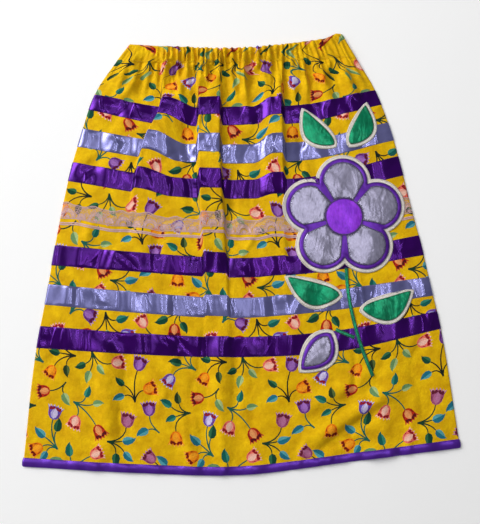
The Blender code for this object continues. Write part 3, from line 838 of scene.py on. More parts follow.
def weave(tree, threads, slub):
    """Woven threads at so many per metre, some thicker than others."""
    return node(tree, "ShaderNodeGroup", node_tree=WEAVE, Threads_per_metre=threads, Slub=slub).outputs[0]


def blotches(tree, pitch, least=0.0, most=1.0):
    """Soft blotches at so many per metre, between two values."""
    made = node(tree, "ShaderNodeGroup", node_tree=BLOTCH, Blotches_per_metre=pitch, Least=least, Most=most)
    return made.outputs[0]


def stretched_uv(tree, scale, turn=0.0):
    """The piece's UV map, drawn out along one way and turned."""
    uv = node(tree, "ShaderNodeUVMap").outputs[0]
    return node(tree, "ShaderNodeMapping", Vector=uv, Scale=scale, Rotation=(0, 0, turn)).outputs[0]


def mix_colour(tree, factor, first, second, blend="MIX"):
    """Mix two colours or sockets, and return the result's socket."""
    made = node(tree, "ShaderNodeMix", data_type="RGBA", blend_type=blend, clamp_factor=True)
    for place, value in ((0, factor), (6, first), (7, second)):
        feed(tree, value, made.inputs[place])
    return made.outputs[2]


def material(name, **values):
    """A material, its node tree and its Principled shader, whose inputs are set by name."""
    made = bpy.data.materials.new(name)
    made.use_nodes = True
    shader = made.node_tree.nodes["Principled BSDF"]
    for key, value in values.items():
        feed(made.node_tree, value, shader.inputs[key.replace("_", " ")])
    return made, made.node_tree, shader


def dye(tree, shader, tint):
    """Give the shader its colour from a socket."""
    feed(tree, tint, shader.inputs["Base Color"])


def bump(tree, shader, height, distance, strength=1.0, under=None):
    """Raise the shader's surface by a height socket, over another bump if given."""
    made = node(tree, "ShaderNodeBump", Strength=strength, Distance=distance, Height=height)
    if under is not None:
        feed(tree, under, made.inputs["Normal"])
    feed(tree, made.outputs[0], shader.inputs["Normal"])
    return made.outputs[0]


def cotton_material():
    """Golden cotton with mottled ground and the painted print, read from the cloth's own colours."""
    looks = {"Roughness": 0.85, "Specular_IOR_Level": 0.12, "Sheen_Weight": 0.03, "Sheen_Roughness": 0.5}
    made, tree, shader = material("printed cotton", **looks)
    ground = mix_colour(tree, blotches(tree, 34.0), colour(200, 150, 0), colour(244, 200, 6))
    speckle = maths(tree, "MULTIPLY", blotches(tree, 210.0), 0.5)
    ground = mix_colour(tree, speckle, ground, colour(216, 164, 0))
    paint = node(tree, "ShaderNodeAttribute", attribute_name="print").outputs
    shaded = mix_colour(tree, 1.0, paint["Color"], blotches(tree, 420.0, 0.78, 1.18), "MULTIPLY")
    dye(tree, shader, mix_colour(tree, paint["Alpha"], ground, shaded))
    under = bump(tree, shader, weave(tree, 1400.0, 0.7), 0.00006, 0.6)
    bump(tree, shader, blotches(tree, 38.0), 0.0022, 0.55, under)
    return made


def satin_material(name, tint, glint, metallic, gloss, roughness, offset, wave_height):
    """Smooth woven satin with soft lighter and darker stretches and a glossy, tinted highlight."""
    made, tree, shader = material(name, Roughness=roughness, Metallic=metallic, Specular_IOR_Level=gloss)
    dye(tree, shader, mix_colour(tree, blotches(tree, 22.0), tint, glint))
    along = stretched_uv(tree, (1.0, 0.2, 1.0))
    shape = {"Scale": 5.0, "Distortion": 2.6, "Detail": 1.0, "Detail_Scale": 3.2, "Phase_Offset": offset}
    ripple = node(tree, "ShaderNodeTexWave", Vector=along, **shape)
    under = bump(tree, shader, ripple.outputs["Fac"], wave_height, 0.9)
    shape = {"Scale": 26.0, "Detail": 1.0, "Roughness": 0.4, "Distortion": 0.3}
    crush = node(tree, "ShaderNodeTexNoise", Vector=along, **shape)
    under = bump(tree, shader, crush.outputs["Fac"], 0.006, 0.24, under)
    bump(tree, shader, weave(tree, 2600.0, 0.3), 0.00002, 0.12, under)
    return made


def metallic_material(name, tint, glint, roughness, metallic, crumple):
    """Metallic cloth: a brushed, slightly blotched sheen with fine crinkles."""
    made, tree, shader = material(name, Roughness=roughness, Metallic=metallic, Specular_IOR_Level=0.5)
    along = stretched_uv(tree, (1.0, 0.45, 1.0), 0.5)
    grain = node(tree, "ShaderNodeTexNoise", Vector=along, Scale=260.0, Detail=4.0, Roughness=0.7)
    grain = grain.outputs["Fac"]
    spread = {"From_Min": 0.3, "From_Max": 0.7, "To_Min": 0.8, "To_Max": 1.2}
    shade = node(tree, "ShaderNodeMapRange", Value=grain, **spread).outputs[0]
    blotched = mix_colour(tree, blotches(tree, 38.0), tint, glint)
    dye(tree, shader, mix_colour(tree, 1.0, blotched, shade, "MULTIPLY"))
    shape = {"Scale": 34.0, "Detail": 3.0, "Roughness": 0.55, "Distortion": 1.6}
    wrinkle = node(tree, "ShaderNodeTexNoise", Vector=along, **shape)
    under = bump(tree, shader, wrinkle.outputs["Fac"], 0.006, crumple)
    bump(tree, shader, grain, 0.0003, 0.5, under)
    return made


def felt_material():
    """White backing cloth with a coarse, fluffy surface."""
    looks = {"Roughness": 0.9, "Specular_IOR_Level": 0.2, "Sheen_Weight": 0.2}
    made, tree, shader = material("white backing cloth", **looks)
    dye(tree, shader, mix_colour(tree, blotches(tree, 180.0), colour(214, 206, 196), colour(238, 232, 224)))
    bump(tree, shader, weave(tree, 1100.0, 1.4), 0.00012, 0.8)
    return made


def thread_material(name, tint, roughness=0.5):
    """Sewing thread or cord, a little uneven in colour."""
    made, tree, shader = material(name, Roughness=roughness, Sheen_Weight=0.3)
    dye(tree, shader, mix_colour(tree, 1.0, tint, blotches(tree, 300.0, 0.82, 1.12), "MULTIPLY"))
    return made


def lace_material():
    """Fine net with denser clothwork, as holes between the threads of one sheet."""
    made, tree, shader = material("mauve lace", Roughness=0.75, Sheen_Weight=0.3)
    dye(tree, shader, mix_colour(tree, blotches(tree, 90.0), colour(204, 160, 162), colour(226, 190, 190)))
    net = node(tree, "ShaderNodeTexVoronoi", feature="DISTANCE_TO_EDGE", Scale=620.0, Randomness=0.55)
    feed(tree, node(tree, "ShaderNodeUVMap").outputs[0], net.inputs["Vector"])
    dense = node(tree, "ShaderNodeAttribute", attribute_name="clothwork").outputs["Fac"]
    thread_reach = maths(tree, "MULTIPLY_ADD", dense, 0.12, 0.044)
    thread = maths(tree, "LESS_THAN", net.outputs["Distance"], thread_reach)
    feed(tree, thread, shader.inputs["Alpha"])
    return made


def floor_material():
    """The studio's plain pale floor."""
    return material("pale floor", Roughness=0.9, Specular_IOR_Level=0.1, Base_Color=(0.97, 0.97, 0.97))[0]


# Satin: (darker tint, lighter tint, metallic, gloss, roughness, shift of its waves, their height in metres)
SATINS = {
    "purple satin": (colour(50, 0, 90), colour(68, 2, 116), 0.62, 0.3, 0.16, 0.0, 0.0034),
    "lavender satin": (colour(94, 94, 148), colour(120, 120, 176), 0.5, 0.7, 0.17, 1.9, 0.0046),
    "violet binding satin": (colour(74, 26, 142), colour(94, 42, 168), 0.5, 0.4, 0.33, 4.0, 0.004),
}
# Metallic cloth: (darker tint, lighter tint, roughness, metallic, strength of its crumples)
METALLIC = {
    "violet metallic cloth": (colour(76, 18, 136), colour(102, 34, 176), 0.38, 0.5, 0.12),
    "bright violet cloth": (colour(120, 28, 200), colour(158, 56, 236), 0.45, 0.35, 0.2),
    "silver metallic cloth": (colour(140, 137, 162), colour(160, 156, 182), 0.27, 0.5, 0.26),
    "green metallic cloth": (colour(0, 112, 76), colour(0, 158, 110), 0.32, 0.6, 0.35),
}
THREAD_TINTS = {
    "purple": colour(60, 18, 100),
    "lavender": colour(128, 128, 184),
    "yellow": colour(198, 150, 14),
    "violet": colour(56, 18, 104),
    "dark violet": colour(58, 44, 88),
    "white": colour(224, 216, 204),
    "green": colour(0, 84, 58),
}
COTTON = cotton_material()
PURPLE, LAVENDER, BINDING = (satin_material(name, *looks) for name, looks in SATINS.items())
LACE = lace_material()
LACE_CORD = thread_material("mauve lace cord", colour(200, 162, 164), 0.7)
FELT = felt_material()
VIOLET, CENTRE, SILVER, GREEN = (metallic_material(name, *looks) for name, looks in METALLIC.items())
THREADS = {name: thread_material(f"{name} thread", tint) for name, tint in THREAD_TINTS.items()}
# kind of band: (finish, slot)
BAND_LOOKS = {
    "purple": (PURPLE, "satin_purple"),
    "lavender": (LAVENDER, "satin_lavender"),
    "lace": (LACE, "lace_mauve"),
}


def add_piece(name, points, faces, finish, slot, replaced=(), uv=None, normals=None):
    """Make one piece from points in millimetres, and let it ride with the skirt."""
    points = np.asarray(points, float)
    uv = points[:, :2] if uv is None else np.asarray(uv, float)
    mesh = bpy.data.meshes.new(name)
    mesh.from_pydata([tuple(point) for point in points * MM], [], faces)
    layer = mesh.uv_layers.new(name="cloth")
    corners = np.empty(len(mesh.loops), dtype=np.int32)
    mesh.loops.foreach_get("vertex_index", corners)
    layer.data.foreach_set("uv", (uv[corners] * MM).astype(np.float32).ravel())
    mesh.materials.append(finish)
    mesh.shade_smooth()
    if normals is not None:
        mesh.normals_split_custom_set_from_vertices([tuple(normal) for normal in normals])
    item = bpy.data.objects.new(name, mesh)
    bpy.context.scene.collection.objects.link(item)
    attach(item, "root")
    if replaced:
        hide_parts(*replaced)
    return item


def paint_faces(item, paints):
    """Give each face its printed colour."""
    mesh = item.data
    layer = mesh.color_attributes.new(name="print", type="FLOAT_COLOR", domain="CORNER")
    sizes = [len(polygon.vertices) for polygon in mesh.polygons]
    values = np.repeat(np.array(paints, dtype=np.float32), sizes, axis=0)
    layer.data.foreach_set("color", values.ravel())


def make_cotton(cloth):
    """The printed front and its casing, whose lower edge is stitched down over the skirt's."""
    stretches = {
        "casing_front": ((0.0, SEAM), ("waistband_front",), 0.35),
        "skirt_front": ((SEAM - 2, CLOTH_LENGTH - 1.5), ("front_panel",), 0.0),
    }
    made = {}
    for name, ((low, high), replaced, lift) in stretches.items():
        places, faces, paints = printed_sheet(cloth, low, high)
        points, normals = cloth.spot(places[:, 0], places[:, 1], lift)
        uv = places * (1, -1)
        made[name] = add_piece(name, points, faces, COTTON, "cotton_print", replaced, uv, normals)
        paint_faces(made[name], paints)
    line = cloth.line(SEAM, 1.5, 2, [SEAM - 1.2], 0.7)
    stitches("casing_stitches", line, THREADS["yellow"], "cotton_print", width=0.45)
    return made


def strip_faces(rows, columns):
    """Quads between rows of points, facing up when rows go down the skirt."""
    faces = []
    for row in range(rows - 1):
        for column in range(columns - 1):
            a = row * columns + column
            faces.append((a, a + columns, a + columns + 1, a + 1))
    return faces


# Creases across a ribbon: (how many, half width, height, spread of their slant). Sharp ones, then broad ones.
RIBBON_CREASES = (
    (17, (0.9, 1.7), (0.4, 0.8), 0.42),
    (9, (8, 20), (0.5, 1.2), 0.3),
)


def ribbon_creases(seed, across, down, centre, width):
    """Creases pressed across a ribbon: a few thin sharp ones and some broad low ones, unevenly placed."""
    draw = random.Random(seed)
    height = np.zeros_like(across)
    offset = down - centre
    start = CLOTH_MIDDLE - width / 2
    for count, half_widths, rises, slants in RIBBON_CREASES:
        for _ in range(count):
            place = start + draw.uniform(0, width)
            slant = draw.gauss(0.0, slants)
            half_width = draw.uniform(*half_widths)
            rise = draw.uniform(*rises)
            begin = draw.uniform(-30, -8)
            end = begin + draw.uniform(24, 52)
            bend = draw.uniform(-0.012, 0.012)
            ends = ease(offset, begin, begin + 9) * (1 - ease(offset, end - 9, end))
            height += rise * ridge(across - place - slant * offset - bend * offset**2, half_width) * ends
    return height


def make_ribbon(cloth, name, place, seed, kind):
    """One satin ribbon on the front, its edges turned down to the cloth and stitched."""
    finish, slot = BAND_LOOKS[kind]
    centre = SECTIONS[place][0]
    half = RIBBON_WIDTH / 2
    flat = np.linspace(-half + 1.2, half - 1.2, 17)
    offsets = np.concatenate(((-half, -half + 0.3), flat, (half - 0.3, half)))
    lifts = np.full(len(offsets), 0.72)
    for step, edge_lift in enumerate((0.08, 0.5, 0.58)):
        lifts[[step, -1 - step]] = edge_lift
    width = float(cloth.width(centre))
    shares = np.linspace(0, 1, int(width / 1.1))
    grid_share, grid_down = np.meshgrid(shares, centre + offsets)
    grid_across = CLOTH_MIDDLE + (grid_share - 0.5) * cloth.width(grid_down)
    inner = ease(half - np.abs(grid_down - centre), 0.4, 4)
    rims = ease((0.5 - np.abs(grid_share - 0.5)) * width, 1, 12)
    lift = lifts[:, None] + inner * rims * ribbon_creases(seed, grid_across, grid_down, centre, width)
    points, _ = cloth.spot(grid_across.ravel(), grid_down.ravel(), lift.ravel())
    uv = np.column_stack((grid_across.ravel() + 137 * seed, -grid_down.ravel()))
    faces = strip_faces(len(offsets), len(shares))
    item = add_piece(name + "_satin", points, faces, finish, slot, (name,), uv)
    lines = cloth.line(centre, 1.3, 3, (centre - half + 1.5, centre + half - 1.5), 0.62)
    stitches(name + "_stitches", lines, THREADS[kind], slot, width=0.4, height=0.2)
    return item


def stitches(name, lines, finish, slot, every=2, width=0.5, height=0.3):
    """Small pointed threads along lines of points, one to each pair of points."""
    points, faces = [], []
    for places, normals in lines:
        for index in range(0, len(places) - 1, every):
            start, end = places[index], places[index + 1]
            along = end - start
            length = np.linalg.norm(along)
            if not 0.2 <= length <= 6:
                continue
            along = along / length
            out = normals[index]
            side = np.cross(along, out)
            middle = (start + end) / 2
            base = len(points)
            tail, sunk = along * 0.3, out * 0.1
            points += [start - tail - sunk, middle + side * width / 2, end + tail - sunk]
            points += [middle - side * width / 2, middle + out * height]
            faces += [(base, base + 4, base + 3), (base, base + 1, base + 4)]
            faces += [(base + 2, base + 3, base + 4), (base + 1, base + 2, base + 4)]
            faces += [(base, base + 3, base + 1), (base + 1, base + 3, base + 2)]
    return add_piece(name, points, faces, finish, slot)


# The back's outline and the y of its rows, as tables over distances down and shares of its width.
BACK_DOWNS = np.linspace(0, CLOTH_LENGTH, 160)
BACK_SHARES = np.linspace(0, 1, 90)
BACK_SIDES = [section(column, BACK_DOWNS) for column in (1, 2)]
BACK_Y = np.array([section_y(BACK_SHARES, down) for down in BACK_DOWNS])


def back_places(shares, down, inset=0.3):
    """Where places of the back lie on the floor, by their share of the width and distance down."""
    left, right = (np.interp(down, BACK_DOWNS, side) for side in BACK_SIDES)
    x = left + inset + (right - left - 2 * inset) * shares
    row = np.interp(down, BACK_DOWNS, np.arange(len(BACK_DOWNS)))
    y = between(BACK_Y, row, shares * (len(BACK_SHARES) - 1)) + bunch_rise(x, down)
    return x + SHIFT[0], y + SHIFT[1]


def back_strip(cloth, name, downs, heights, finish, slot, replaced=()):
    """A band of cloth on the underside, facing the floor."""
    shares = np.linspace(0, 1, 120)
    points, uv = [], []
    for down, height in zip(downs, heights):
        x, y = back_places(shares, np.full(len(shares), down))
        points.append(np.column_stack((x, y, np.full(len(x), height))))
        uv.append(np.column_stack((shares * float(cloth.width(down)), np.full(len(x), -down))))
    faces = flipped(strip_faces(len(downs), len(shares)))
    return add_piece(name, np.vstack(points), faces, finish, slot, replaced, np.vstack(uv))


def make_back(cloth):
    """The skirt's back, flat on the floor under the front."""
    made = {}
    stretches = {
        "casing_back": ((0.0, SEAM - SEAM_GAP), ("waistband_back",), 0.6),
        "skirt_back": ((SEAM, CLOTH_LENGTH - BINDING_WIDTH), ("back_panel",), 0.55),
    }
    for name, ((low, high), replaced, height) in stretches.items():
        places, faces, paints = printed_sheet(cloth, low, high, flat=True)
        shares = np.clip(0.5 + (places[:, 0] - CLOTH_MIDDLE) / cloth.width(places[:, 1]), 0, 1)
        x, y = back_places(shares, places[:, 1])
        points = np.column_stack((x, y, np.full(len(x), height)))
        uv = places * (1, -1)
        made[name] = add_piece(name, points, flipped(faces), COTTON, "cotton_print", replaced, uv)
        paint_faces(made[name], paints)
    return made


def make_back_bands(cloth):
    """Ribbons and lace where they go round the back, pressed flat by the skirt's weight."""
    made = {}
    for name, (place, kind) in BANDS.items():
        top, centre, bottom = band_edges(place)
        downs = (top, centre, bottom) if kind == "lace" else (top, top + 0.8, centre, bottom - 0.8, bottom)
        heights = [0.45] + [0.25] * (len(downs) - 2) + [0.45]
        made[name] = back_strip(cloth, name + "_underside", downs, heights, *BAND_LOOKS[kind])
    return made


def make_binding(cloth):
    """Satin folded over the hem: a puffed band on the front with its fold at the bottom edge."""
    hem = CLOTH_LENGTH
    start, end = cloth.cut_edges(hem)
    across = np.linspace(start, end, 520)
    # Its section on the front: (distance above the hem, lift).
    profile = ((15, 0.1), (14.6, 0.8), (13.6, 1.2), (11.5, 1.9), (8.5, 2.5), (5, 2.4), (2, 1.9), (0, 1.1))
    grid = [cloth.spot(across, hem - above, lift)[0] for above, lift in profile]
    # Its section round the fold: (distance out past the hem, rise).
    for out, rise in ((0.9, 0.1), (1.2, -1.0), (0.8, -1.9)):
        grid.append(cloth.spot(across, hem)[0] + (0, -out, rise))
        grid[-1][:, 2] = np.maximum(grid[-1][:, 2], 0.15)
    grid[-1][:, 2] = np.minimum(grid[-1][:, 2], 0.6)
    draw = random.Random(3)
    wrinkle = np.zeros_like(across)
    for _ in range(46):
        place, half_width = draw.uniform(start, end), draw.uniform(2.5, 10)
        wrinkle += draw.uniform(-0.35, 0.5) * ridge(across - place, half_width)
    for row in grid[2:-2]:
        row[:, 2] += wrinkle * ease(np.minimum(across - start, end - across), 1, 8)
    uv = np.column_stack((np.tile(across, len(grid)), np.repeat(-np.arange(len(grid)) * 2.0, len(across))))
    faces = strip_faces(len(grid), len(across))
    looks = (BINDING, "satin_binding")
    front = add_piece("hem_binding_satin", np.vstack(grid), faces, *looks, ("hem_binding_front",), uv)
    line = cloth.spot(across[3:-3], hem - 13.4, 0.85)
    stitches("hem_binding_stitches", [line], THREADS["violet"], "satin_binding")
    downs, heights = (hem - BINDING_WIDTH + SEAM_GAP, hem - 7, hem), (0.5, 0.3, 0.4)
    back = back_strip(cloth, "hem_binding_underside", downs, heights, *looks, ("hem_binding_back",))
    return front, back


def arch(x, y, radius, start=0.0, end=180.0, steps=14, flatten=0.85):
    """Points along an arch, from its right end over the top to its left, in degrees."""
    turns = [math.radians(start + (end - start) * step / steps) for step in range(steps + 1)]
    return [(x + radius * math.cos(turn), y - radius * flatten * math.sin(turn)) for turn in turns]


def lace_motifs():
    """One repeat of the lace: shells of nested arches, curled bars between them and a small flower."""
    cords, dense = [], []
    for x, y, radii in ((15, 28.5, (4.2, 9.2, 14.6)), (42, 28, (3.8, 8.6))):
        for radius in radii:
            cords.append(arch(x, y, radius, flatten=1.15))
        dense.append(arch(x, y, radii[-1], flatten=1.15) + arch(x, y, radii[-2], flatten=1.15)[::-1])
        dense.append(arch(x, y, radii[0], flatten=1.15))
    cords.append([(30 + 0.62 * step, 24 - 9 * math.sin(step * 0.3)) for step in range(22)])
    cords.append([(34 + 0.8 * step, 9 + 4.5 * math.sin(step * 0.33)) for step in range(20)])
    cords.append([(4 + 0.9 * step, 11 + 3.0 * math.cos(step * 0.4)) for step in range(12)])
    for x, y, turn in ((31, 14, 1), (51, 20, -1)):
        coil = [(5.4 - 0.36 * step, step * 0.72 * turn) for step in range(13)]
        cords.append([(x + size * math.cos(angle), y + size * math.sin(angle)) for size, angle in coil])
    return cords, dense


def make_lace(cloth):
    """The lace band: a net sheet with denser clothwork, a scalloped upper edge and corded lines."""
    top, centre, bottom = band_edges("lace")
    start, end = cloth.cut_edges(centre)
    columns = np.linspace(start, end, int((end - start) / 1.8))
    upper = top + scallop_depth(columns)
    net_end = bottom - LACE_CORDED
    whole = list(zip(columns.tolist(), upper.tolist()))
    whole += [(across, net_end) for across in columns[::-1].tolist()]
    inner = itertools.product(np.arange(top + 2, net_end - 0.5, 3.0).tolist(), columns[1:-1:2].tolist())
    grid = [(across, down) for down, across in inner]
    cords, dense = lace_motifs()
    shifts = [start + LACE_REPEAT * repeat for repeat in range(int((end - start) / LACE_REPEAT) + 1)]
    outlines = [[(x + shift, top + y) for x, y in shape] for shift in shifts for shape in dense]
    places, faces, layers = cut_faces(grid, outlines, whole)
    points, _ = cloth.spot(places[:, 0], places[:, 1], 0.4)
    uv = places * (1, -1)
    item = add_piece("lace_net", points, flipped(faces), LACE, "lace_mauve", ("lace_band_4",), uv)
    layer = item.data.attributes.new("clothwork", "FLOAT", "FACE")
    layer.data.foreach_set("value", np.array([bool(found) for found in layers], dtype=np.float32))
    lines = [(columns, upper + drop, width) for drop, width in ((0.6, 1.7), (3.6, 0.9))]
    waver = 1.3 * np.sin(columns / 17) + 0.6 * np.sin(columns / 7.3)
    for above, width in ((12.2, 1.5), (14.8, 0.6), (4.4, 2.3), (1.5, 2.3)):
        lines.append((columns, bottom - above + waver, width))
    for shift, cord in itertools.product(shifts, cords):
        across, down = np.array(cord).T + ((shift,), (top,))
        kept = (across > start + 1) & (across < end - 1)
        if kept.sum() > 2:
            across, down = across[kept], down[kept]
            lines.append((across, np.maximum(down, top + scallop_depth(across)), 1.1))
    cord_net(cloth, "lace_cords", lines)
    return item


def scallop_depth(across):
    """How far the lace's upper edge dips below its highest points."""
    turn = across / LACE_REPEAT * 2 * math.pi
    return 2.6 - 2.0 * np.cos(turn) - 0.9 * np.cos(2 * turn + 0.6) + 0.5 * np.abs(np.sin(4 * turn))


def cord_net(cloth, name, cords):
    """Flat cords along lines on the lace, each of two faces that meet at a low ridge."""
    points, faces = [], []
    for across, down, width in cords:
        centre, normals = cloth.spot(across, down, 0.55)
        along = np.gradient(centre, axis=0)
        along /= np.maximum(np.linalg.norm(along, axis=1), 1e-6)[:, None]
        side = np.cross(along, normals)
        base = len(points)
        for c, s, n in zip(centre, side, normals):
            points += [c + s * width / 2, c + n * 0.5, c - s * width / 2]
        for step in range(len(centre) - 1):
            a = base + 3 * step
            faces += [(a, a + 3, a + 4, a + 1), (a + 1, a + 4, a + 5, a + 2)]
    return add_piece(name, points, faces, LACE_CORD, "lace_mauve")


def on_flower(places):
    """Places given by their reach and turn from the flower's centre, as x and y."""
    x, y = FLOWER_CENTRE
    return [(x + reach * math.cos(turn), y + reach * math.sin(turn)) for reach, turn in places]


def petal_reach(swing, rim):
    """How far a round petal, drawn in by a rim, reaches from the centre at a swing from its middle."""
    across = PETAL_REACH * math.sin(swing)
    return PETAL_REACH * math.cos(swing) + math.sqrt(max((PETAL_RADIUS - rim) ** 2 - across**2, 0))


def flower_outline(rim, steps=44):
    """The whole flower, drawn in by a rim."""
    places = []
    for petal, step in itertools.product(range(PETALS), range(steps)):
        swing = (step / steps - 0.5) * 2 * math.pi / PETALS
        places.append((petal_reach(swing, rim), math.pi / 2 + petal * 2 * math.pi / PETALS + swing))
    return on_flower(places)


def petal_outline(petal, rim):
    """One petal, whose foot goes round the flower's disc."""
    half = math.pi / PETALS - PETAL_GAP
    turn = math.pi / 2 + petal * 2 * math.pi / PETALS
    swings = [half * (step / 28 - 1) for step in range(57)]
    places = [(petal_reach(swing, rim), turn + swing) for swing in swings]
    places += [(FLOWER_DISC + 1.0, turn + half * (1 - step / 6)) for step in range(13)]
    return on_flower(places)


def round_outline(radius, count=72):
    """A circle round the flower's centre."""
    return on_flower([(radius, 2 * math.pi * step / count) for step in range(count)])


def leaf_outline(leaf, rim, steps=26):
    """A pointed leaf from its base to its tip, bowed to one side and widened by a rim."""
    base_x, base_y, tip_x, tip_y, half_width, bow = leaf
    along = Vector((tip_x - base_x, tip_y - base_y))
    length = along.length
    along.normalize()
    side = Vector((-along.y, along.x))
    start = Vector((base_x, base_y)) - along * rim
    left, right = [], []
    for step in range(steps + 1):
        share = step / steps
        width = (half_width + rim) * math.sin(math.pi * share**0.85) ** 0.8 if 0 < step < steps else 0
        middle = start + along * (share * (length + 2 * rim)) + side * (bow * math.sin(math.pi * share))
        left.append(middle + side * width)
        right.append(middle - side * width)
    return [tuple(point) for point in right + left[-2:0:-1]]


def stem_outline(points, width, steps=24):
    """A curved stem of even width through three points."""
    (ax, ay), (bx, by), (cx, cy) = points
    px, py = 2 * bx - (ax + cx) / 2, 2 * by - (ay + cy) / 2
    left, right = [], []
    for step in range(steps + 1):
        share = step / steps
        x = (1 - share) ** 2 * ax + 2 * share * (1 - share) * px + share**2 * cx
        y = (1 - share) ** 2 * ay + 2 * share * (1 - share) * py + share**2 * cy
        slope = Vector((2 * (1 - share) * (px - ax) + 2 * share * (cx - px),
                        2 * (1 - share) * (py - ay) + 2 * share * (cy - py))).normalized()
        left.append((x - slope.y * width / 2, y + slope.x * width / 2))
        right.append((x + slope.y * width / 2, y - slope.x * width / 2))
    return right + left[::-1]


class Applique:
    """Lays flat patches on the front, each following the cloth under it."""

    def __init__(self, cloth):
        points = cloth.points[::4, ::5] + SHIFT
        rows, columns = points.shape[:2]
        corners = [Vector(point) for point in points.reshape(-1, 3)]
        self.tree = BVHTree.FromPolygons(corners, strip_faces(rows, columns))
        self.draw = random.Random(5)

    def height(self, x, y):
        """Height of the cloth at one place."""
        hit = self.tree.ray_cast(Vector((x, y, 100)), Vector((0, 0, -1)))[0]
        return hit.z if hit else 6.0

    def ground(self, places):
        """Height of the cloth, averaged over a few millimetres because the patches are stiff."""
        result = []
        for x, y in places:
            around = [self.height(x + dx, y + dy) for dx, dy in ((0, 0), (6, 0), (-6, 0), (0, 6), (0, -6))]
            result.append(sum(around) / len(around))
        return np.array(result)

    def patch(self, name, outline, low, high, finish, slot, replaced, puff=0.5, crinkle=0.25, rim_width=0.0):
        """One patch between two levels above the cloth, with a soft edge and its own small creases."""
        step = 3.0
        ring = anticlockwise([(x + SHIFT[0], y + SHIFT[1]) for x, y in outline])
        xs, ys = zip(*ring)
        sides = np.array(ring)
        spots = []
        for row, y in enumerate(np.arange(min(ys), max(ys), step)):
            spots += [(x, y) for x in np.arange(min(xs) + (row % 2) * step / 2, max(xs), step)]
        spots = np.array(spots)
        spots = spots[edge_distance(spots, sides) > 0.8]
        places, kept, _ = cut_faces([tuple(spot) for spot in spots if inside(spot, ring)], [], ring)
        distance = edge_distance(places, sides)
        z = self.ground(places)
        top = z + low + (high - low) * (0.55 + 0.45 * ease(distance, 0, 2.2)) + puff * ease(distance, 0, 16)
        top = top + self.creases(places, distance, crinkle)
        if rim_width:
            top = top + 0.9 * np.sin(math.pi * np.clip(distance / rim_width, 0, 1)) ** 2
        edges = {(face[i], face[(i + 1) % 3]) for face in kept for i in range(3)}
        rim = [(a, b) for a, b in sorted(edges) if (b, a) not in edges]
        rim_points = sorted({a for pair in rim for a in pair})
        number = {a: index for index, a in enumerate(rim_points, len(places))}
        faces = kept + [(b, a, number[a], number[b]) for a, b in rim]
        upper = np.column_stack((places, top))
        lower = np.column_stack((places[rim_points], (z + low)[rim_points]))
        return add_piece(name, np.vstack((upper, lower)), faces, finish, slot, replaced)

    def creases(self, places, distance, size):
        """A few sharp creases across a patch, as crinkled cloth has."""
        height = np.zeros(len(places))
        low, high = places.min(axis=0), places.max(axis=0)
        for _ in range(14):
            x, y = self.draw.uniform(low[0], high[0]), self.draw.uniform(low[1], high[1])
            turn = self.draw.uniform(0, math.pi)
            half_width = self.draw.uniform(1.2, 4.0)
            length = self.draw.uniform(10, 34)
            along = (places[:, 0] - x) * math.cos(turn) + (places[:, 1] - y) * math.sin(turn)
            across = (places[:, 1] - y) * math.cos(turn) - (places[:, 0] - x) * math.sin(turn)
            sign = self.draw.choice((-1, 1))
            height += sign * size * ridge(across, half_width) * ridge(along, length)
        return height * ease(distance, 1, 8)

    def around(self, outline, pitch):
        """Even stops along a closed outline, with the way across it at each."""
        ring = np.array([(x + SHIFT[0], y + SHIFT[1]) for x, y in list(outline) + list(outline[:1])])
        length = np.concatenate(((0,), np.cumsum(np.linalg.norm(np.diff(ring, axis=0), axis=1))))
        stops = np.arange(0, length[-1], pitch)
        line = np.column_stack([np.interp(stops, length, ring[:, axis]) for axis in (0, 1)])
        along = np.gradient(line, axis=0)
        along /= np.maximum(np.linalg.norm(along, axis=1), 1e-6)[:, None]
        return line, np.column_stack((-along[:, 1], along[:, 0]))

    def raised(self, flat, level):
        """A line on the cloth at a level above it, and the way up at each of its places."""
        return np.column_stack((flat, self.ground(flat) + level)), np.tile((0.0, 0.0, 1.0), (len(flat), 1))

    def zigzag(self, name, outlines, level, finish, slot, reach, pitch, width=0.5):
        """Zigzag stitching along outlines: threads that lean to and fro across the edge."""
        lines = []
        for outline in outlines:
            line, side = self.around(outline, pitch)
            flat = line + side * reach * np.where(np.arange(len(line)) % 2, 1, -1)[:, None]
            lines.append(self.raised(flat, level))
        return stitches(name, lines, finish, slot, every=1, width=width, height=0.3)

    def ticks(self, name, outlines, level, finish, slot, inward, pitch=3.4):
        """Loose dark stitches that point inwards from an edge, uneven in length."""
        lines = []
        for outline in outlines:
            line, side = self.around(anticlockwise(list(outline)), pitch)
            for spot, way in zip(line, side):
                if self.draw.random() < 0.25:
                    continue
                lean = np.array((self.draw.gauss(0, 0.5), self.draw.gauss(0, 0.5)))
                end = spot + (way + lean * 0.5) * inward * self.draw.uniform(0.5, 1.1)
                lines.append(self.raised(np.array((spot - way * 0.4, end)), level))
        return stitches(name, lines, finish, slot, every=1, width=1.9, height=0.5)


def edge_distance(places, ring):
    """How far each place is from the nearest side of a ring."""
    best = np.full(len(places), 1e9)
    for start, end in zip(ring, np.roll(ring, -1, axis=0)):
        along = end - start
        size = max(float(along @ along), 1e-9)
        share = np.clip(((places - start) @ along) / size, 0, 1)
        near = start + share[:, None] * along
        best = np.minimum(best, np.hypot(*(places - near).T))
    return best


def inside(point, outline):
    """Whether a point is within a closed outline."""
    x, y = point
    crossed = False
    for (ax, ay), (bx, by) in zip(outline, outline[1:] + outline[:1]):
        if (ay > y) != (by > y) and x < ax + (bx - ax) * (y - ay) / (by - ay):
            crossed = not crossed
    return crossed


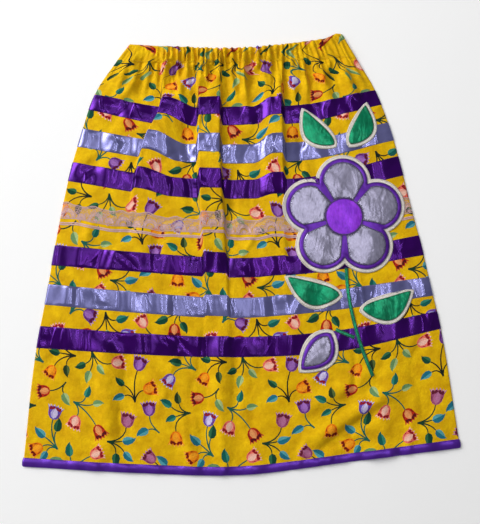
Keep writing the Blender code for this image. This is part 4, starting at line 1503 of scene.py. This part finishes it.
def make_applique(cloth):
    """A generic spray: a five-petalled flower, leaves, a closed bud and stitched stems."""
    sewn = Applique(cloth)
    made = []
    violet, silver, green = (VIOLET, "metallic_violet"), (SILVER, "metallic_silver"), (GREEN, "metallic_green")

    def lay(name, node_name, outline, level, look, puff, crinkle, rim_width=0.0):
        """Lay one patch of a solid, as many layers up as its level says."""
        low, high = 0.9 + 1.1 * level, 1.9 + 1.1 * level
        made.append(sewn.patch(name, outline, low, high, *look, (node_name,), puff, crinkle, rim_width))

    def felt(name, node_name, outline):
        """Lay one piece of the white backing."""
        lay(name, node_name, outline, 0, (FELT, "felt_white"), 0.1, 0.05)

    felt("flower_felt", "flower_backing", flower_outline(-BACKING_RIM))
    lay("flower_rim", "flower_border", flower_outline(0), 1, violet, 0.0, 0.05, BORDER_RIM)
    petals = [petal_outline(petal, BORDER_RIM) for petal in range(PETALS)]
    for number, petal in enumerate(petals, 1):
        lay(f"petal_cloth_{number}", f"flower_petal_{number}", petal, 2, silver, 0.8, 0.22)
    lay("flower_disc", "flower_centre", round_outline(FLOWER_DISC), 2, (CENTRE, "metallic_violet"), 1.0, 0.25)
    for name, leaf in LEAVES.items():
        felt(f"{name}_felt", f"{name}_backing", leaf_outline(leaf, BACKING_RIM))
        lay(f"{name}_cloth", name, leaf_outline(leaf, 0), 1, green, 0.9, 0.4)
    felt("bud_felt", "bud_backing", leaf_outline(BUD, BACKING_RIM))
    lay("bud_rim", "bud_border", leaf_outline(BUD, 0), 1, violet, 0.0, 0.05, BORDER_RIM)
    bud = leaf_outline(BUD, -BORDER_RIM)
    lay("bud_cloth", "bud_petal", bud, 2, silver, 0.8, 0.35)
    for name, points in STEMS.items():
        lay(f"{name}_cloth", name, stem_outline(points, STEM_WIDTH), 0, green, 0.4, 0.1)

    rims = [flower_outline(0.4), leaf_outline(BUD, -0.4)]
    disc = [round_outline(FLOWER_DISC - 0.6)]
    leaves = [leaf_outline(leaf, -0.6) for leaf in LEAVES.values()]
    felts = [flower_outline(-BACKING_RIM + 1.5)]
    felts += [leaf_outline(leaf, BACKING_RIM - 1.5) for leaf in (*LEAVES.values(), BUD)]
    stems = [stem_outline(points, STEM_WIDTH - 2) for points in STEMS.values()]
    sewn.zigzag("border_edging", rims, 3.1, THREADS["violet"], "metallic_violet", 1.1, 0.9, 0.7)
    sewn.zigzag("petal_edging", petals + [bud], 4.2, THREADS["violet"], "metallic_silver", 0.9, 0.9, 0.7)
    sewn.zigzag("disc_edging", disc, 4.6, THREADS["violet"], "metallic_violet", 1.7, 0.9, 0.8)
    sewn.ticks("petal_ticks", petals + [bud], 4.6, THREADS["dark violet"], "metallic_silver", 4.6)
    sewn.zigzag("leaf_edging", leaves, 3.1, THREADS["green"], "metallic_green", 0.9, 1.0)
    sewn.zigzag("felt_edging", felts, 2.0, THREADS["white"], "felt_white", 1.2, 1.1)
    sewn.zigzag("stem_edging", stems, 2.1, THREADS["green"], "metallic_green", 1.2, 1.0)
    return made


FLOOR_SIZE, FLOOR_GAP = 12, 0.0002
ROOM_LIGHT = 0.23
# name: (place, width, length, power). Lamps and panels hang above the skirt, a little askew.
LIGHTS = {
    "window_middle": ((-4.0, 2.4, 3.0), 2.6, 1.5, 75.0),
    "window_pane": ((-4.1, 2.46, 3.07), 4.6, 2.8, 115.0),
    "window_rim": ((-4.2, 2.52, 3.14), 7.0, 4.6, 155.0),
    "left_lamp": ((-0.5, 0.6, 2.6), 0.06, 1.4, 5.2),
    "right_lamp": ((0.42, 0.5, 2.6), 0.06, 1.4, 5.6),
    "left_panel": ((-1.0, 0.7, 2.6), 0.4, 1.6, 3.2),
    "middle_panel": ((-0.04, 0.4, 2.6), 0.3, 1.6, 3.4),
}


def add_studio():
    """Pale floor, soft studio light, and the camera above the skirt, a little towards its hem."""
    bpy.ops.mesh.primitive_plane_add(size=FLOOR_SIZE, location=(0, 0, -FLOOR_GAP))
    floor = bpy.context.object
    floor.name = "floor"
    floor.data.materials.append(floor_material())
    for number, (name, (place, width, length, power)) in enumerate(LIGHTS.items()):
        light = bpy.data.lights.new(name, "AREA")
        light.shape = "RECTANGLE"
        light.size, light.size_y = width, length
        light.energy = power
        item = bpy.data.objects.new(name, light)
        item.location = place
        if name.startswith("window"):
            item.rotation_euler = (-Vector(place)).to_track_quat("-Z", "Y").to_euler()
        else:
            item.rotation_euler = (0, 0, 0.16 * math.sin(2.3 * number))
        bpy.context.scene.collection.objects.link(item)
    world = bpy.data.worlds.new("studio")
    world.use_nodes = True
    background = world.node_tree.nodes["Background"].inputs
    background["Color"].default_value = (1.0, 1.0, 1.0, 1)
    background["Strength"].default_value = ROOM_LIGHT
    bpy.context.scene.world = world
    bpy.context.scene.view_settings.view_transform = "Standard"
    # The photograph is 480 px wide, and its focal length is 780 px at 1.5 m from the skirt.
    distance, tilt, focal, width = 1.5, math.radians(8), 780, 480
    aim = Vector((-0.0035, -0.0303, 0))
    camera = bpy.data.cameras.new("camera")
    camera.sensor_fit = "HORIZONTAL"
    camera.sensor_width = 36
    camera.lens = camera.sensor_width * focal / width
    item = bpy.data.objects.new("camera", camera)
    item.location = aim + Vector((0, -distance * math.sin(tilt), distance * math.cos(tilt)))
    item.rotation_euler = (tilt, 0, 0)
    bpy.context.scene.collection.objects.link(item)
    bpy.context.scene.camera = item


def main():
    """Build the studio and every piece."""
    add_studio()
    cloth = Cloth()
    cotton = make_cotton(cloth)
    back = make_back(cloth)
    for seed, (name, (place, kind)) in enumerate(BANDS.items(), 1):
        if kind != "lace":
            make_ribbon(cloth, name, place, seed, kind)
    lace = make_lace(cloth)
    binding, binding_back = make_binding(cloth)
    patches = make_applique(cloth)
    bands = make_back_bands(cloth)


main()
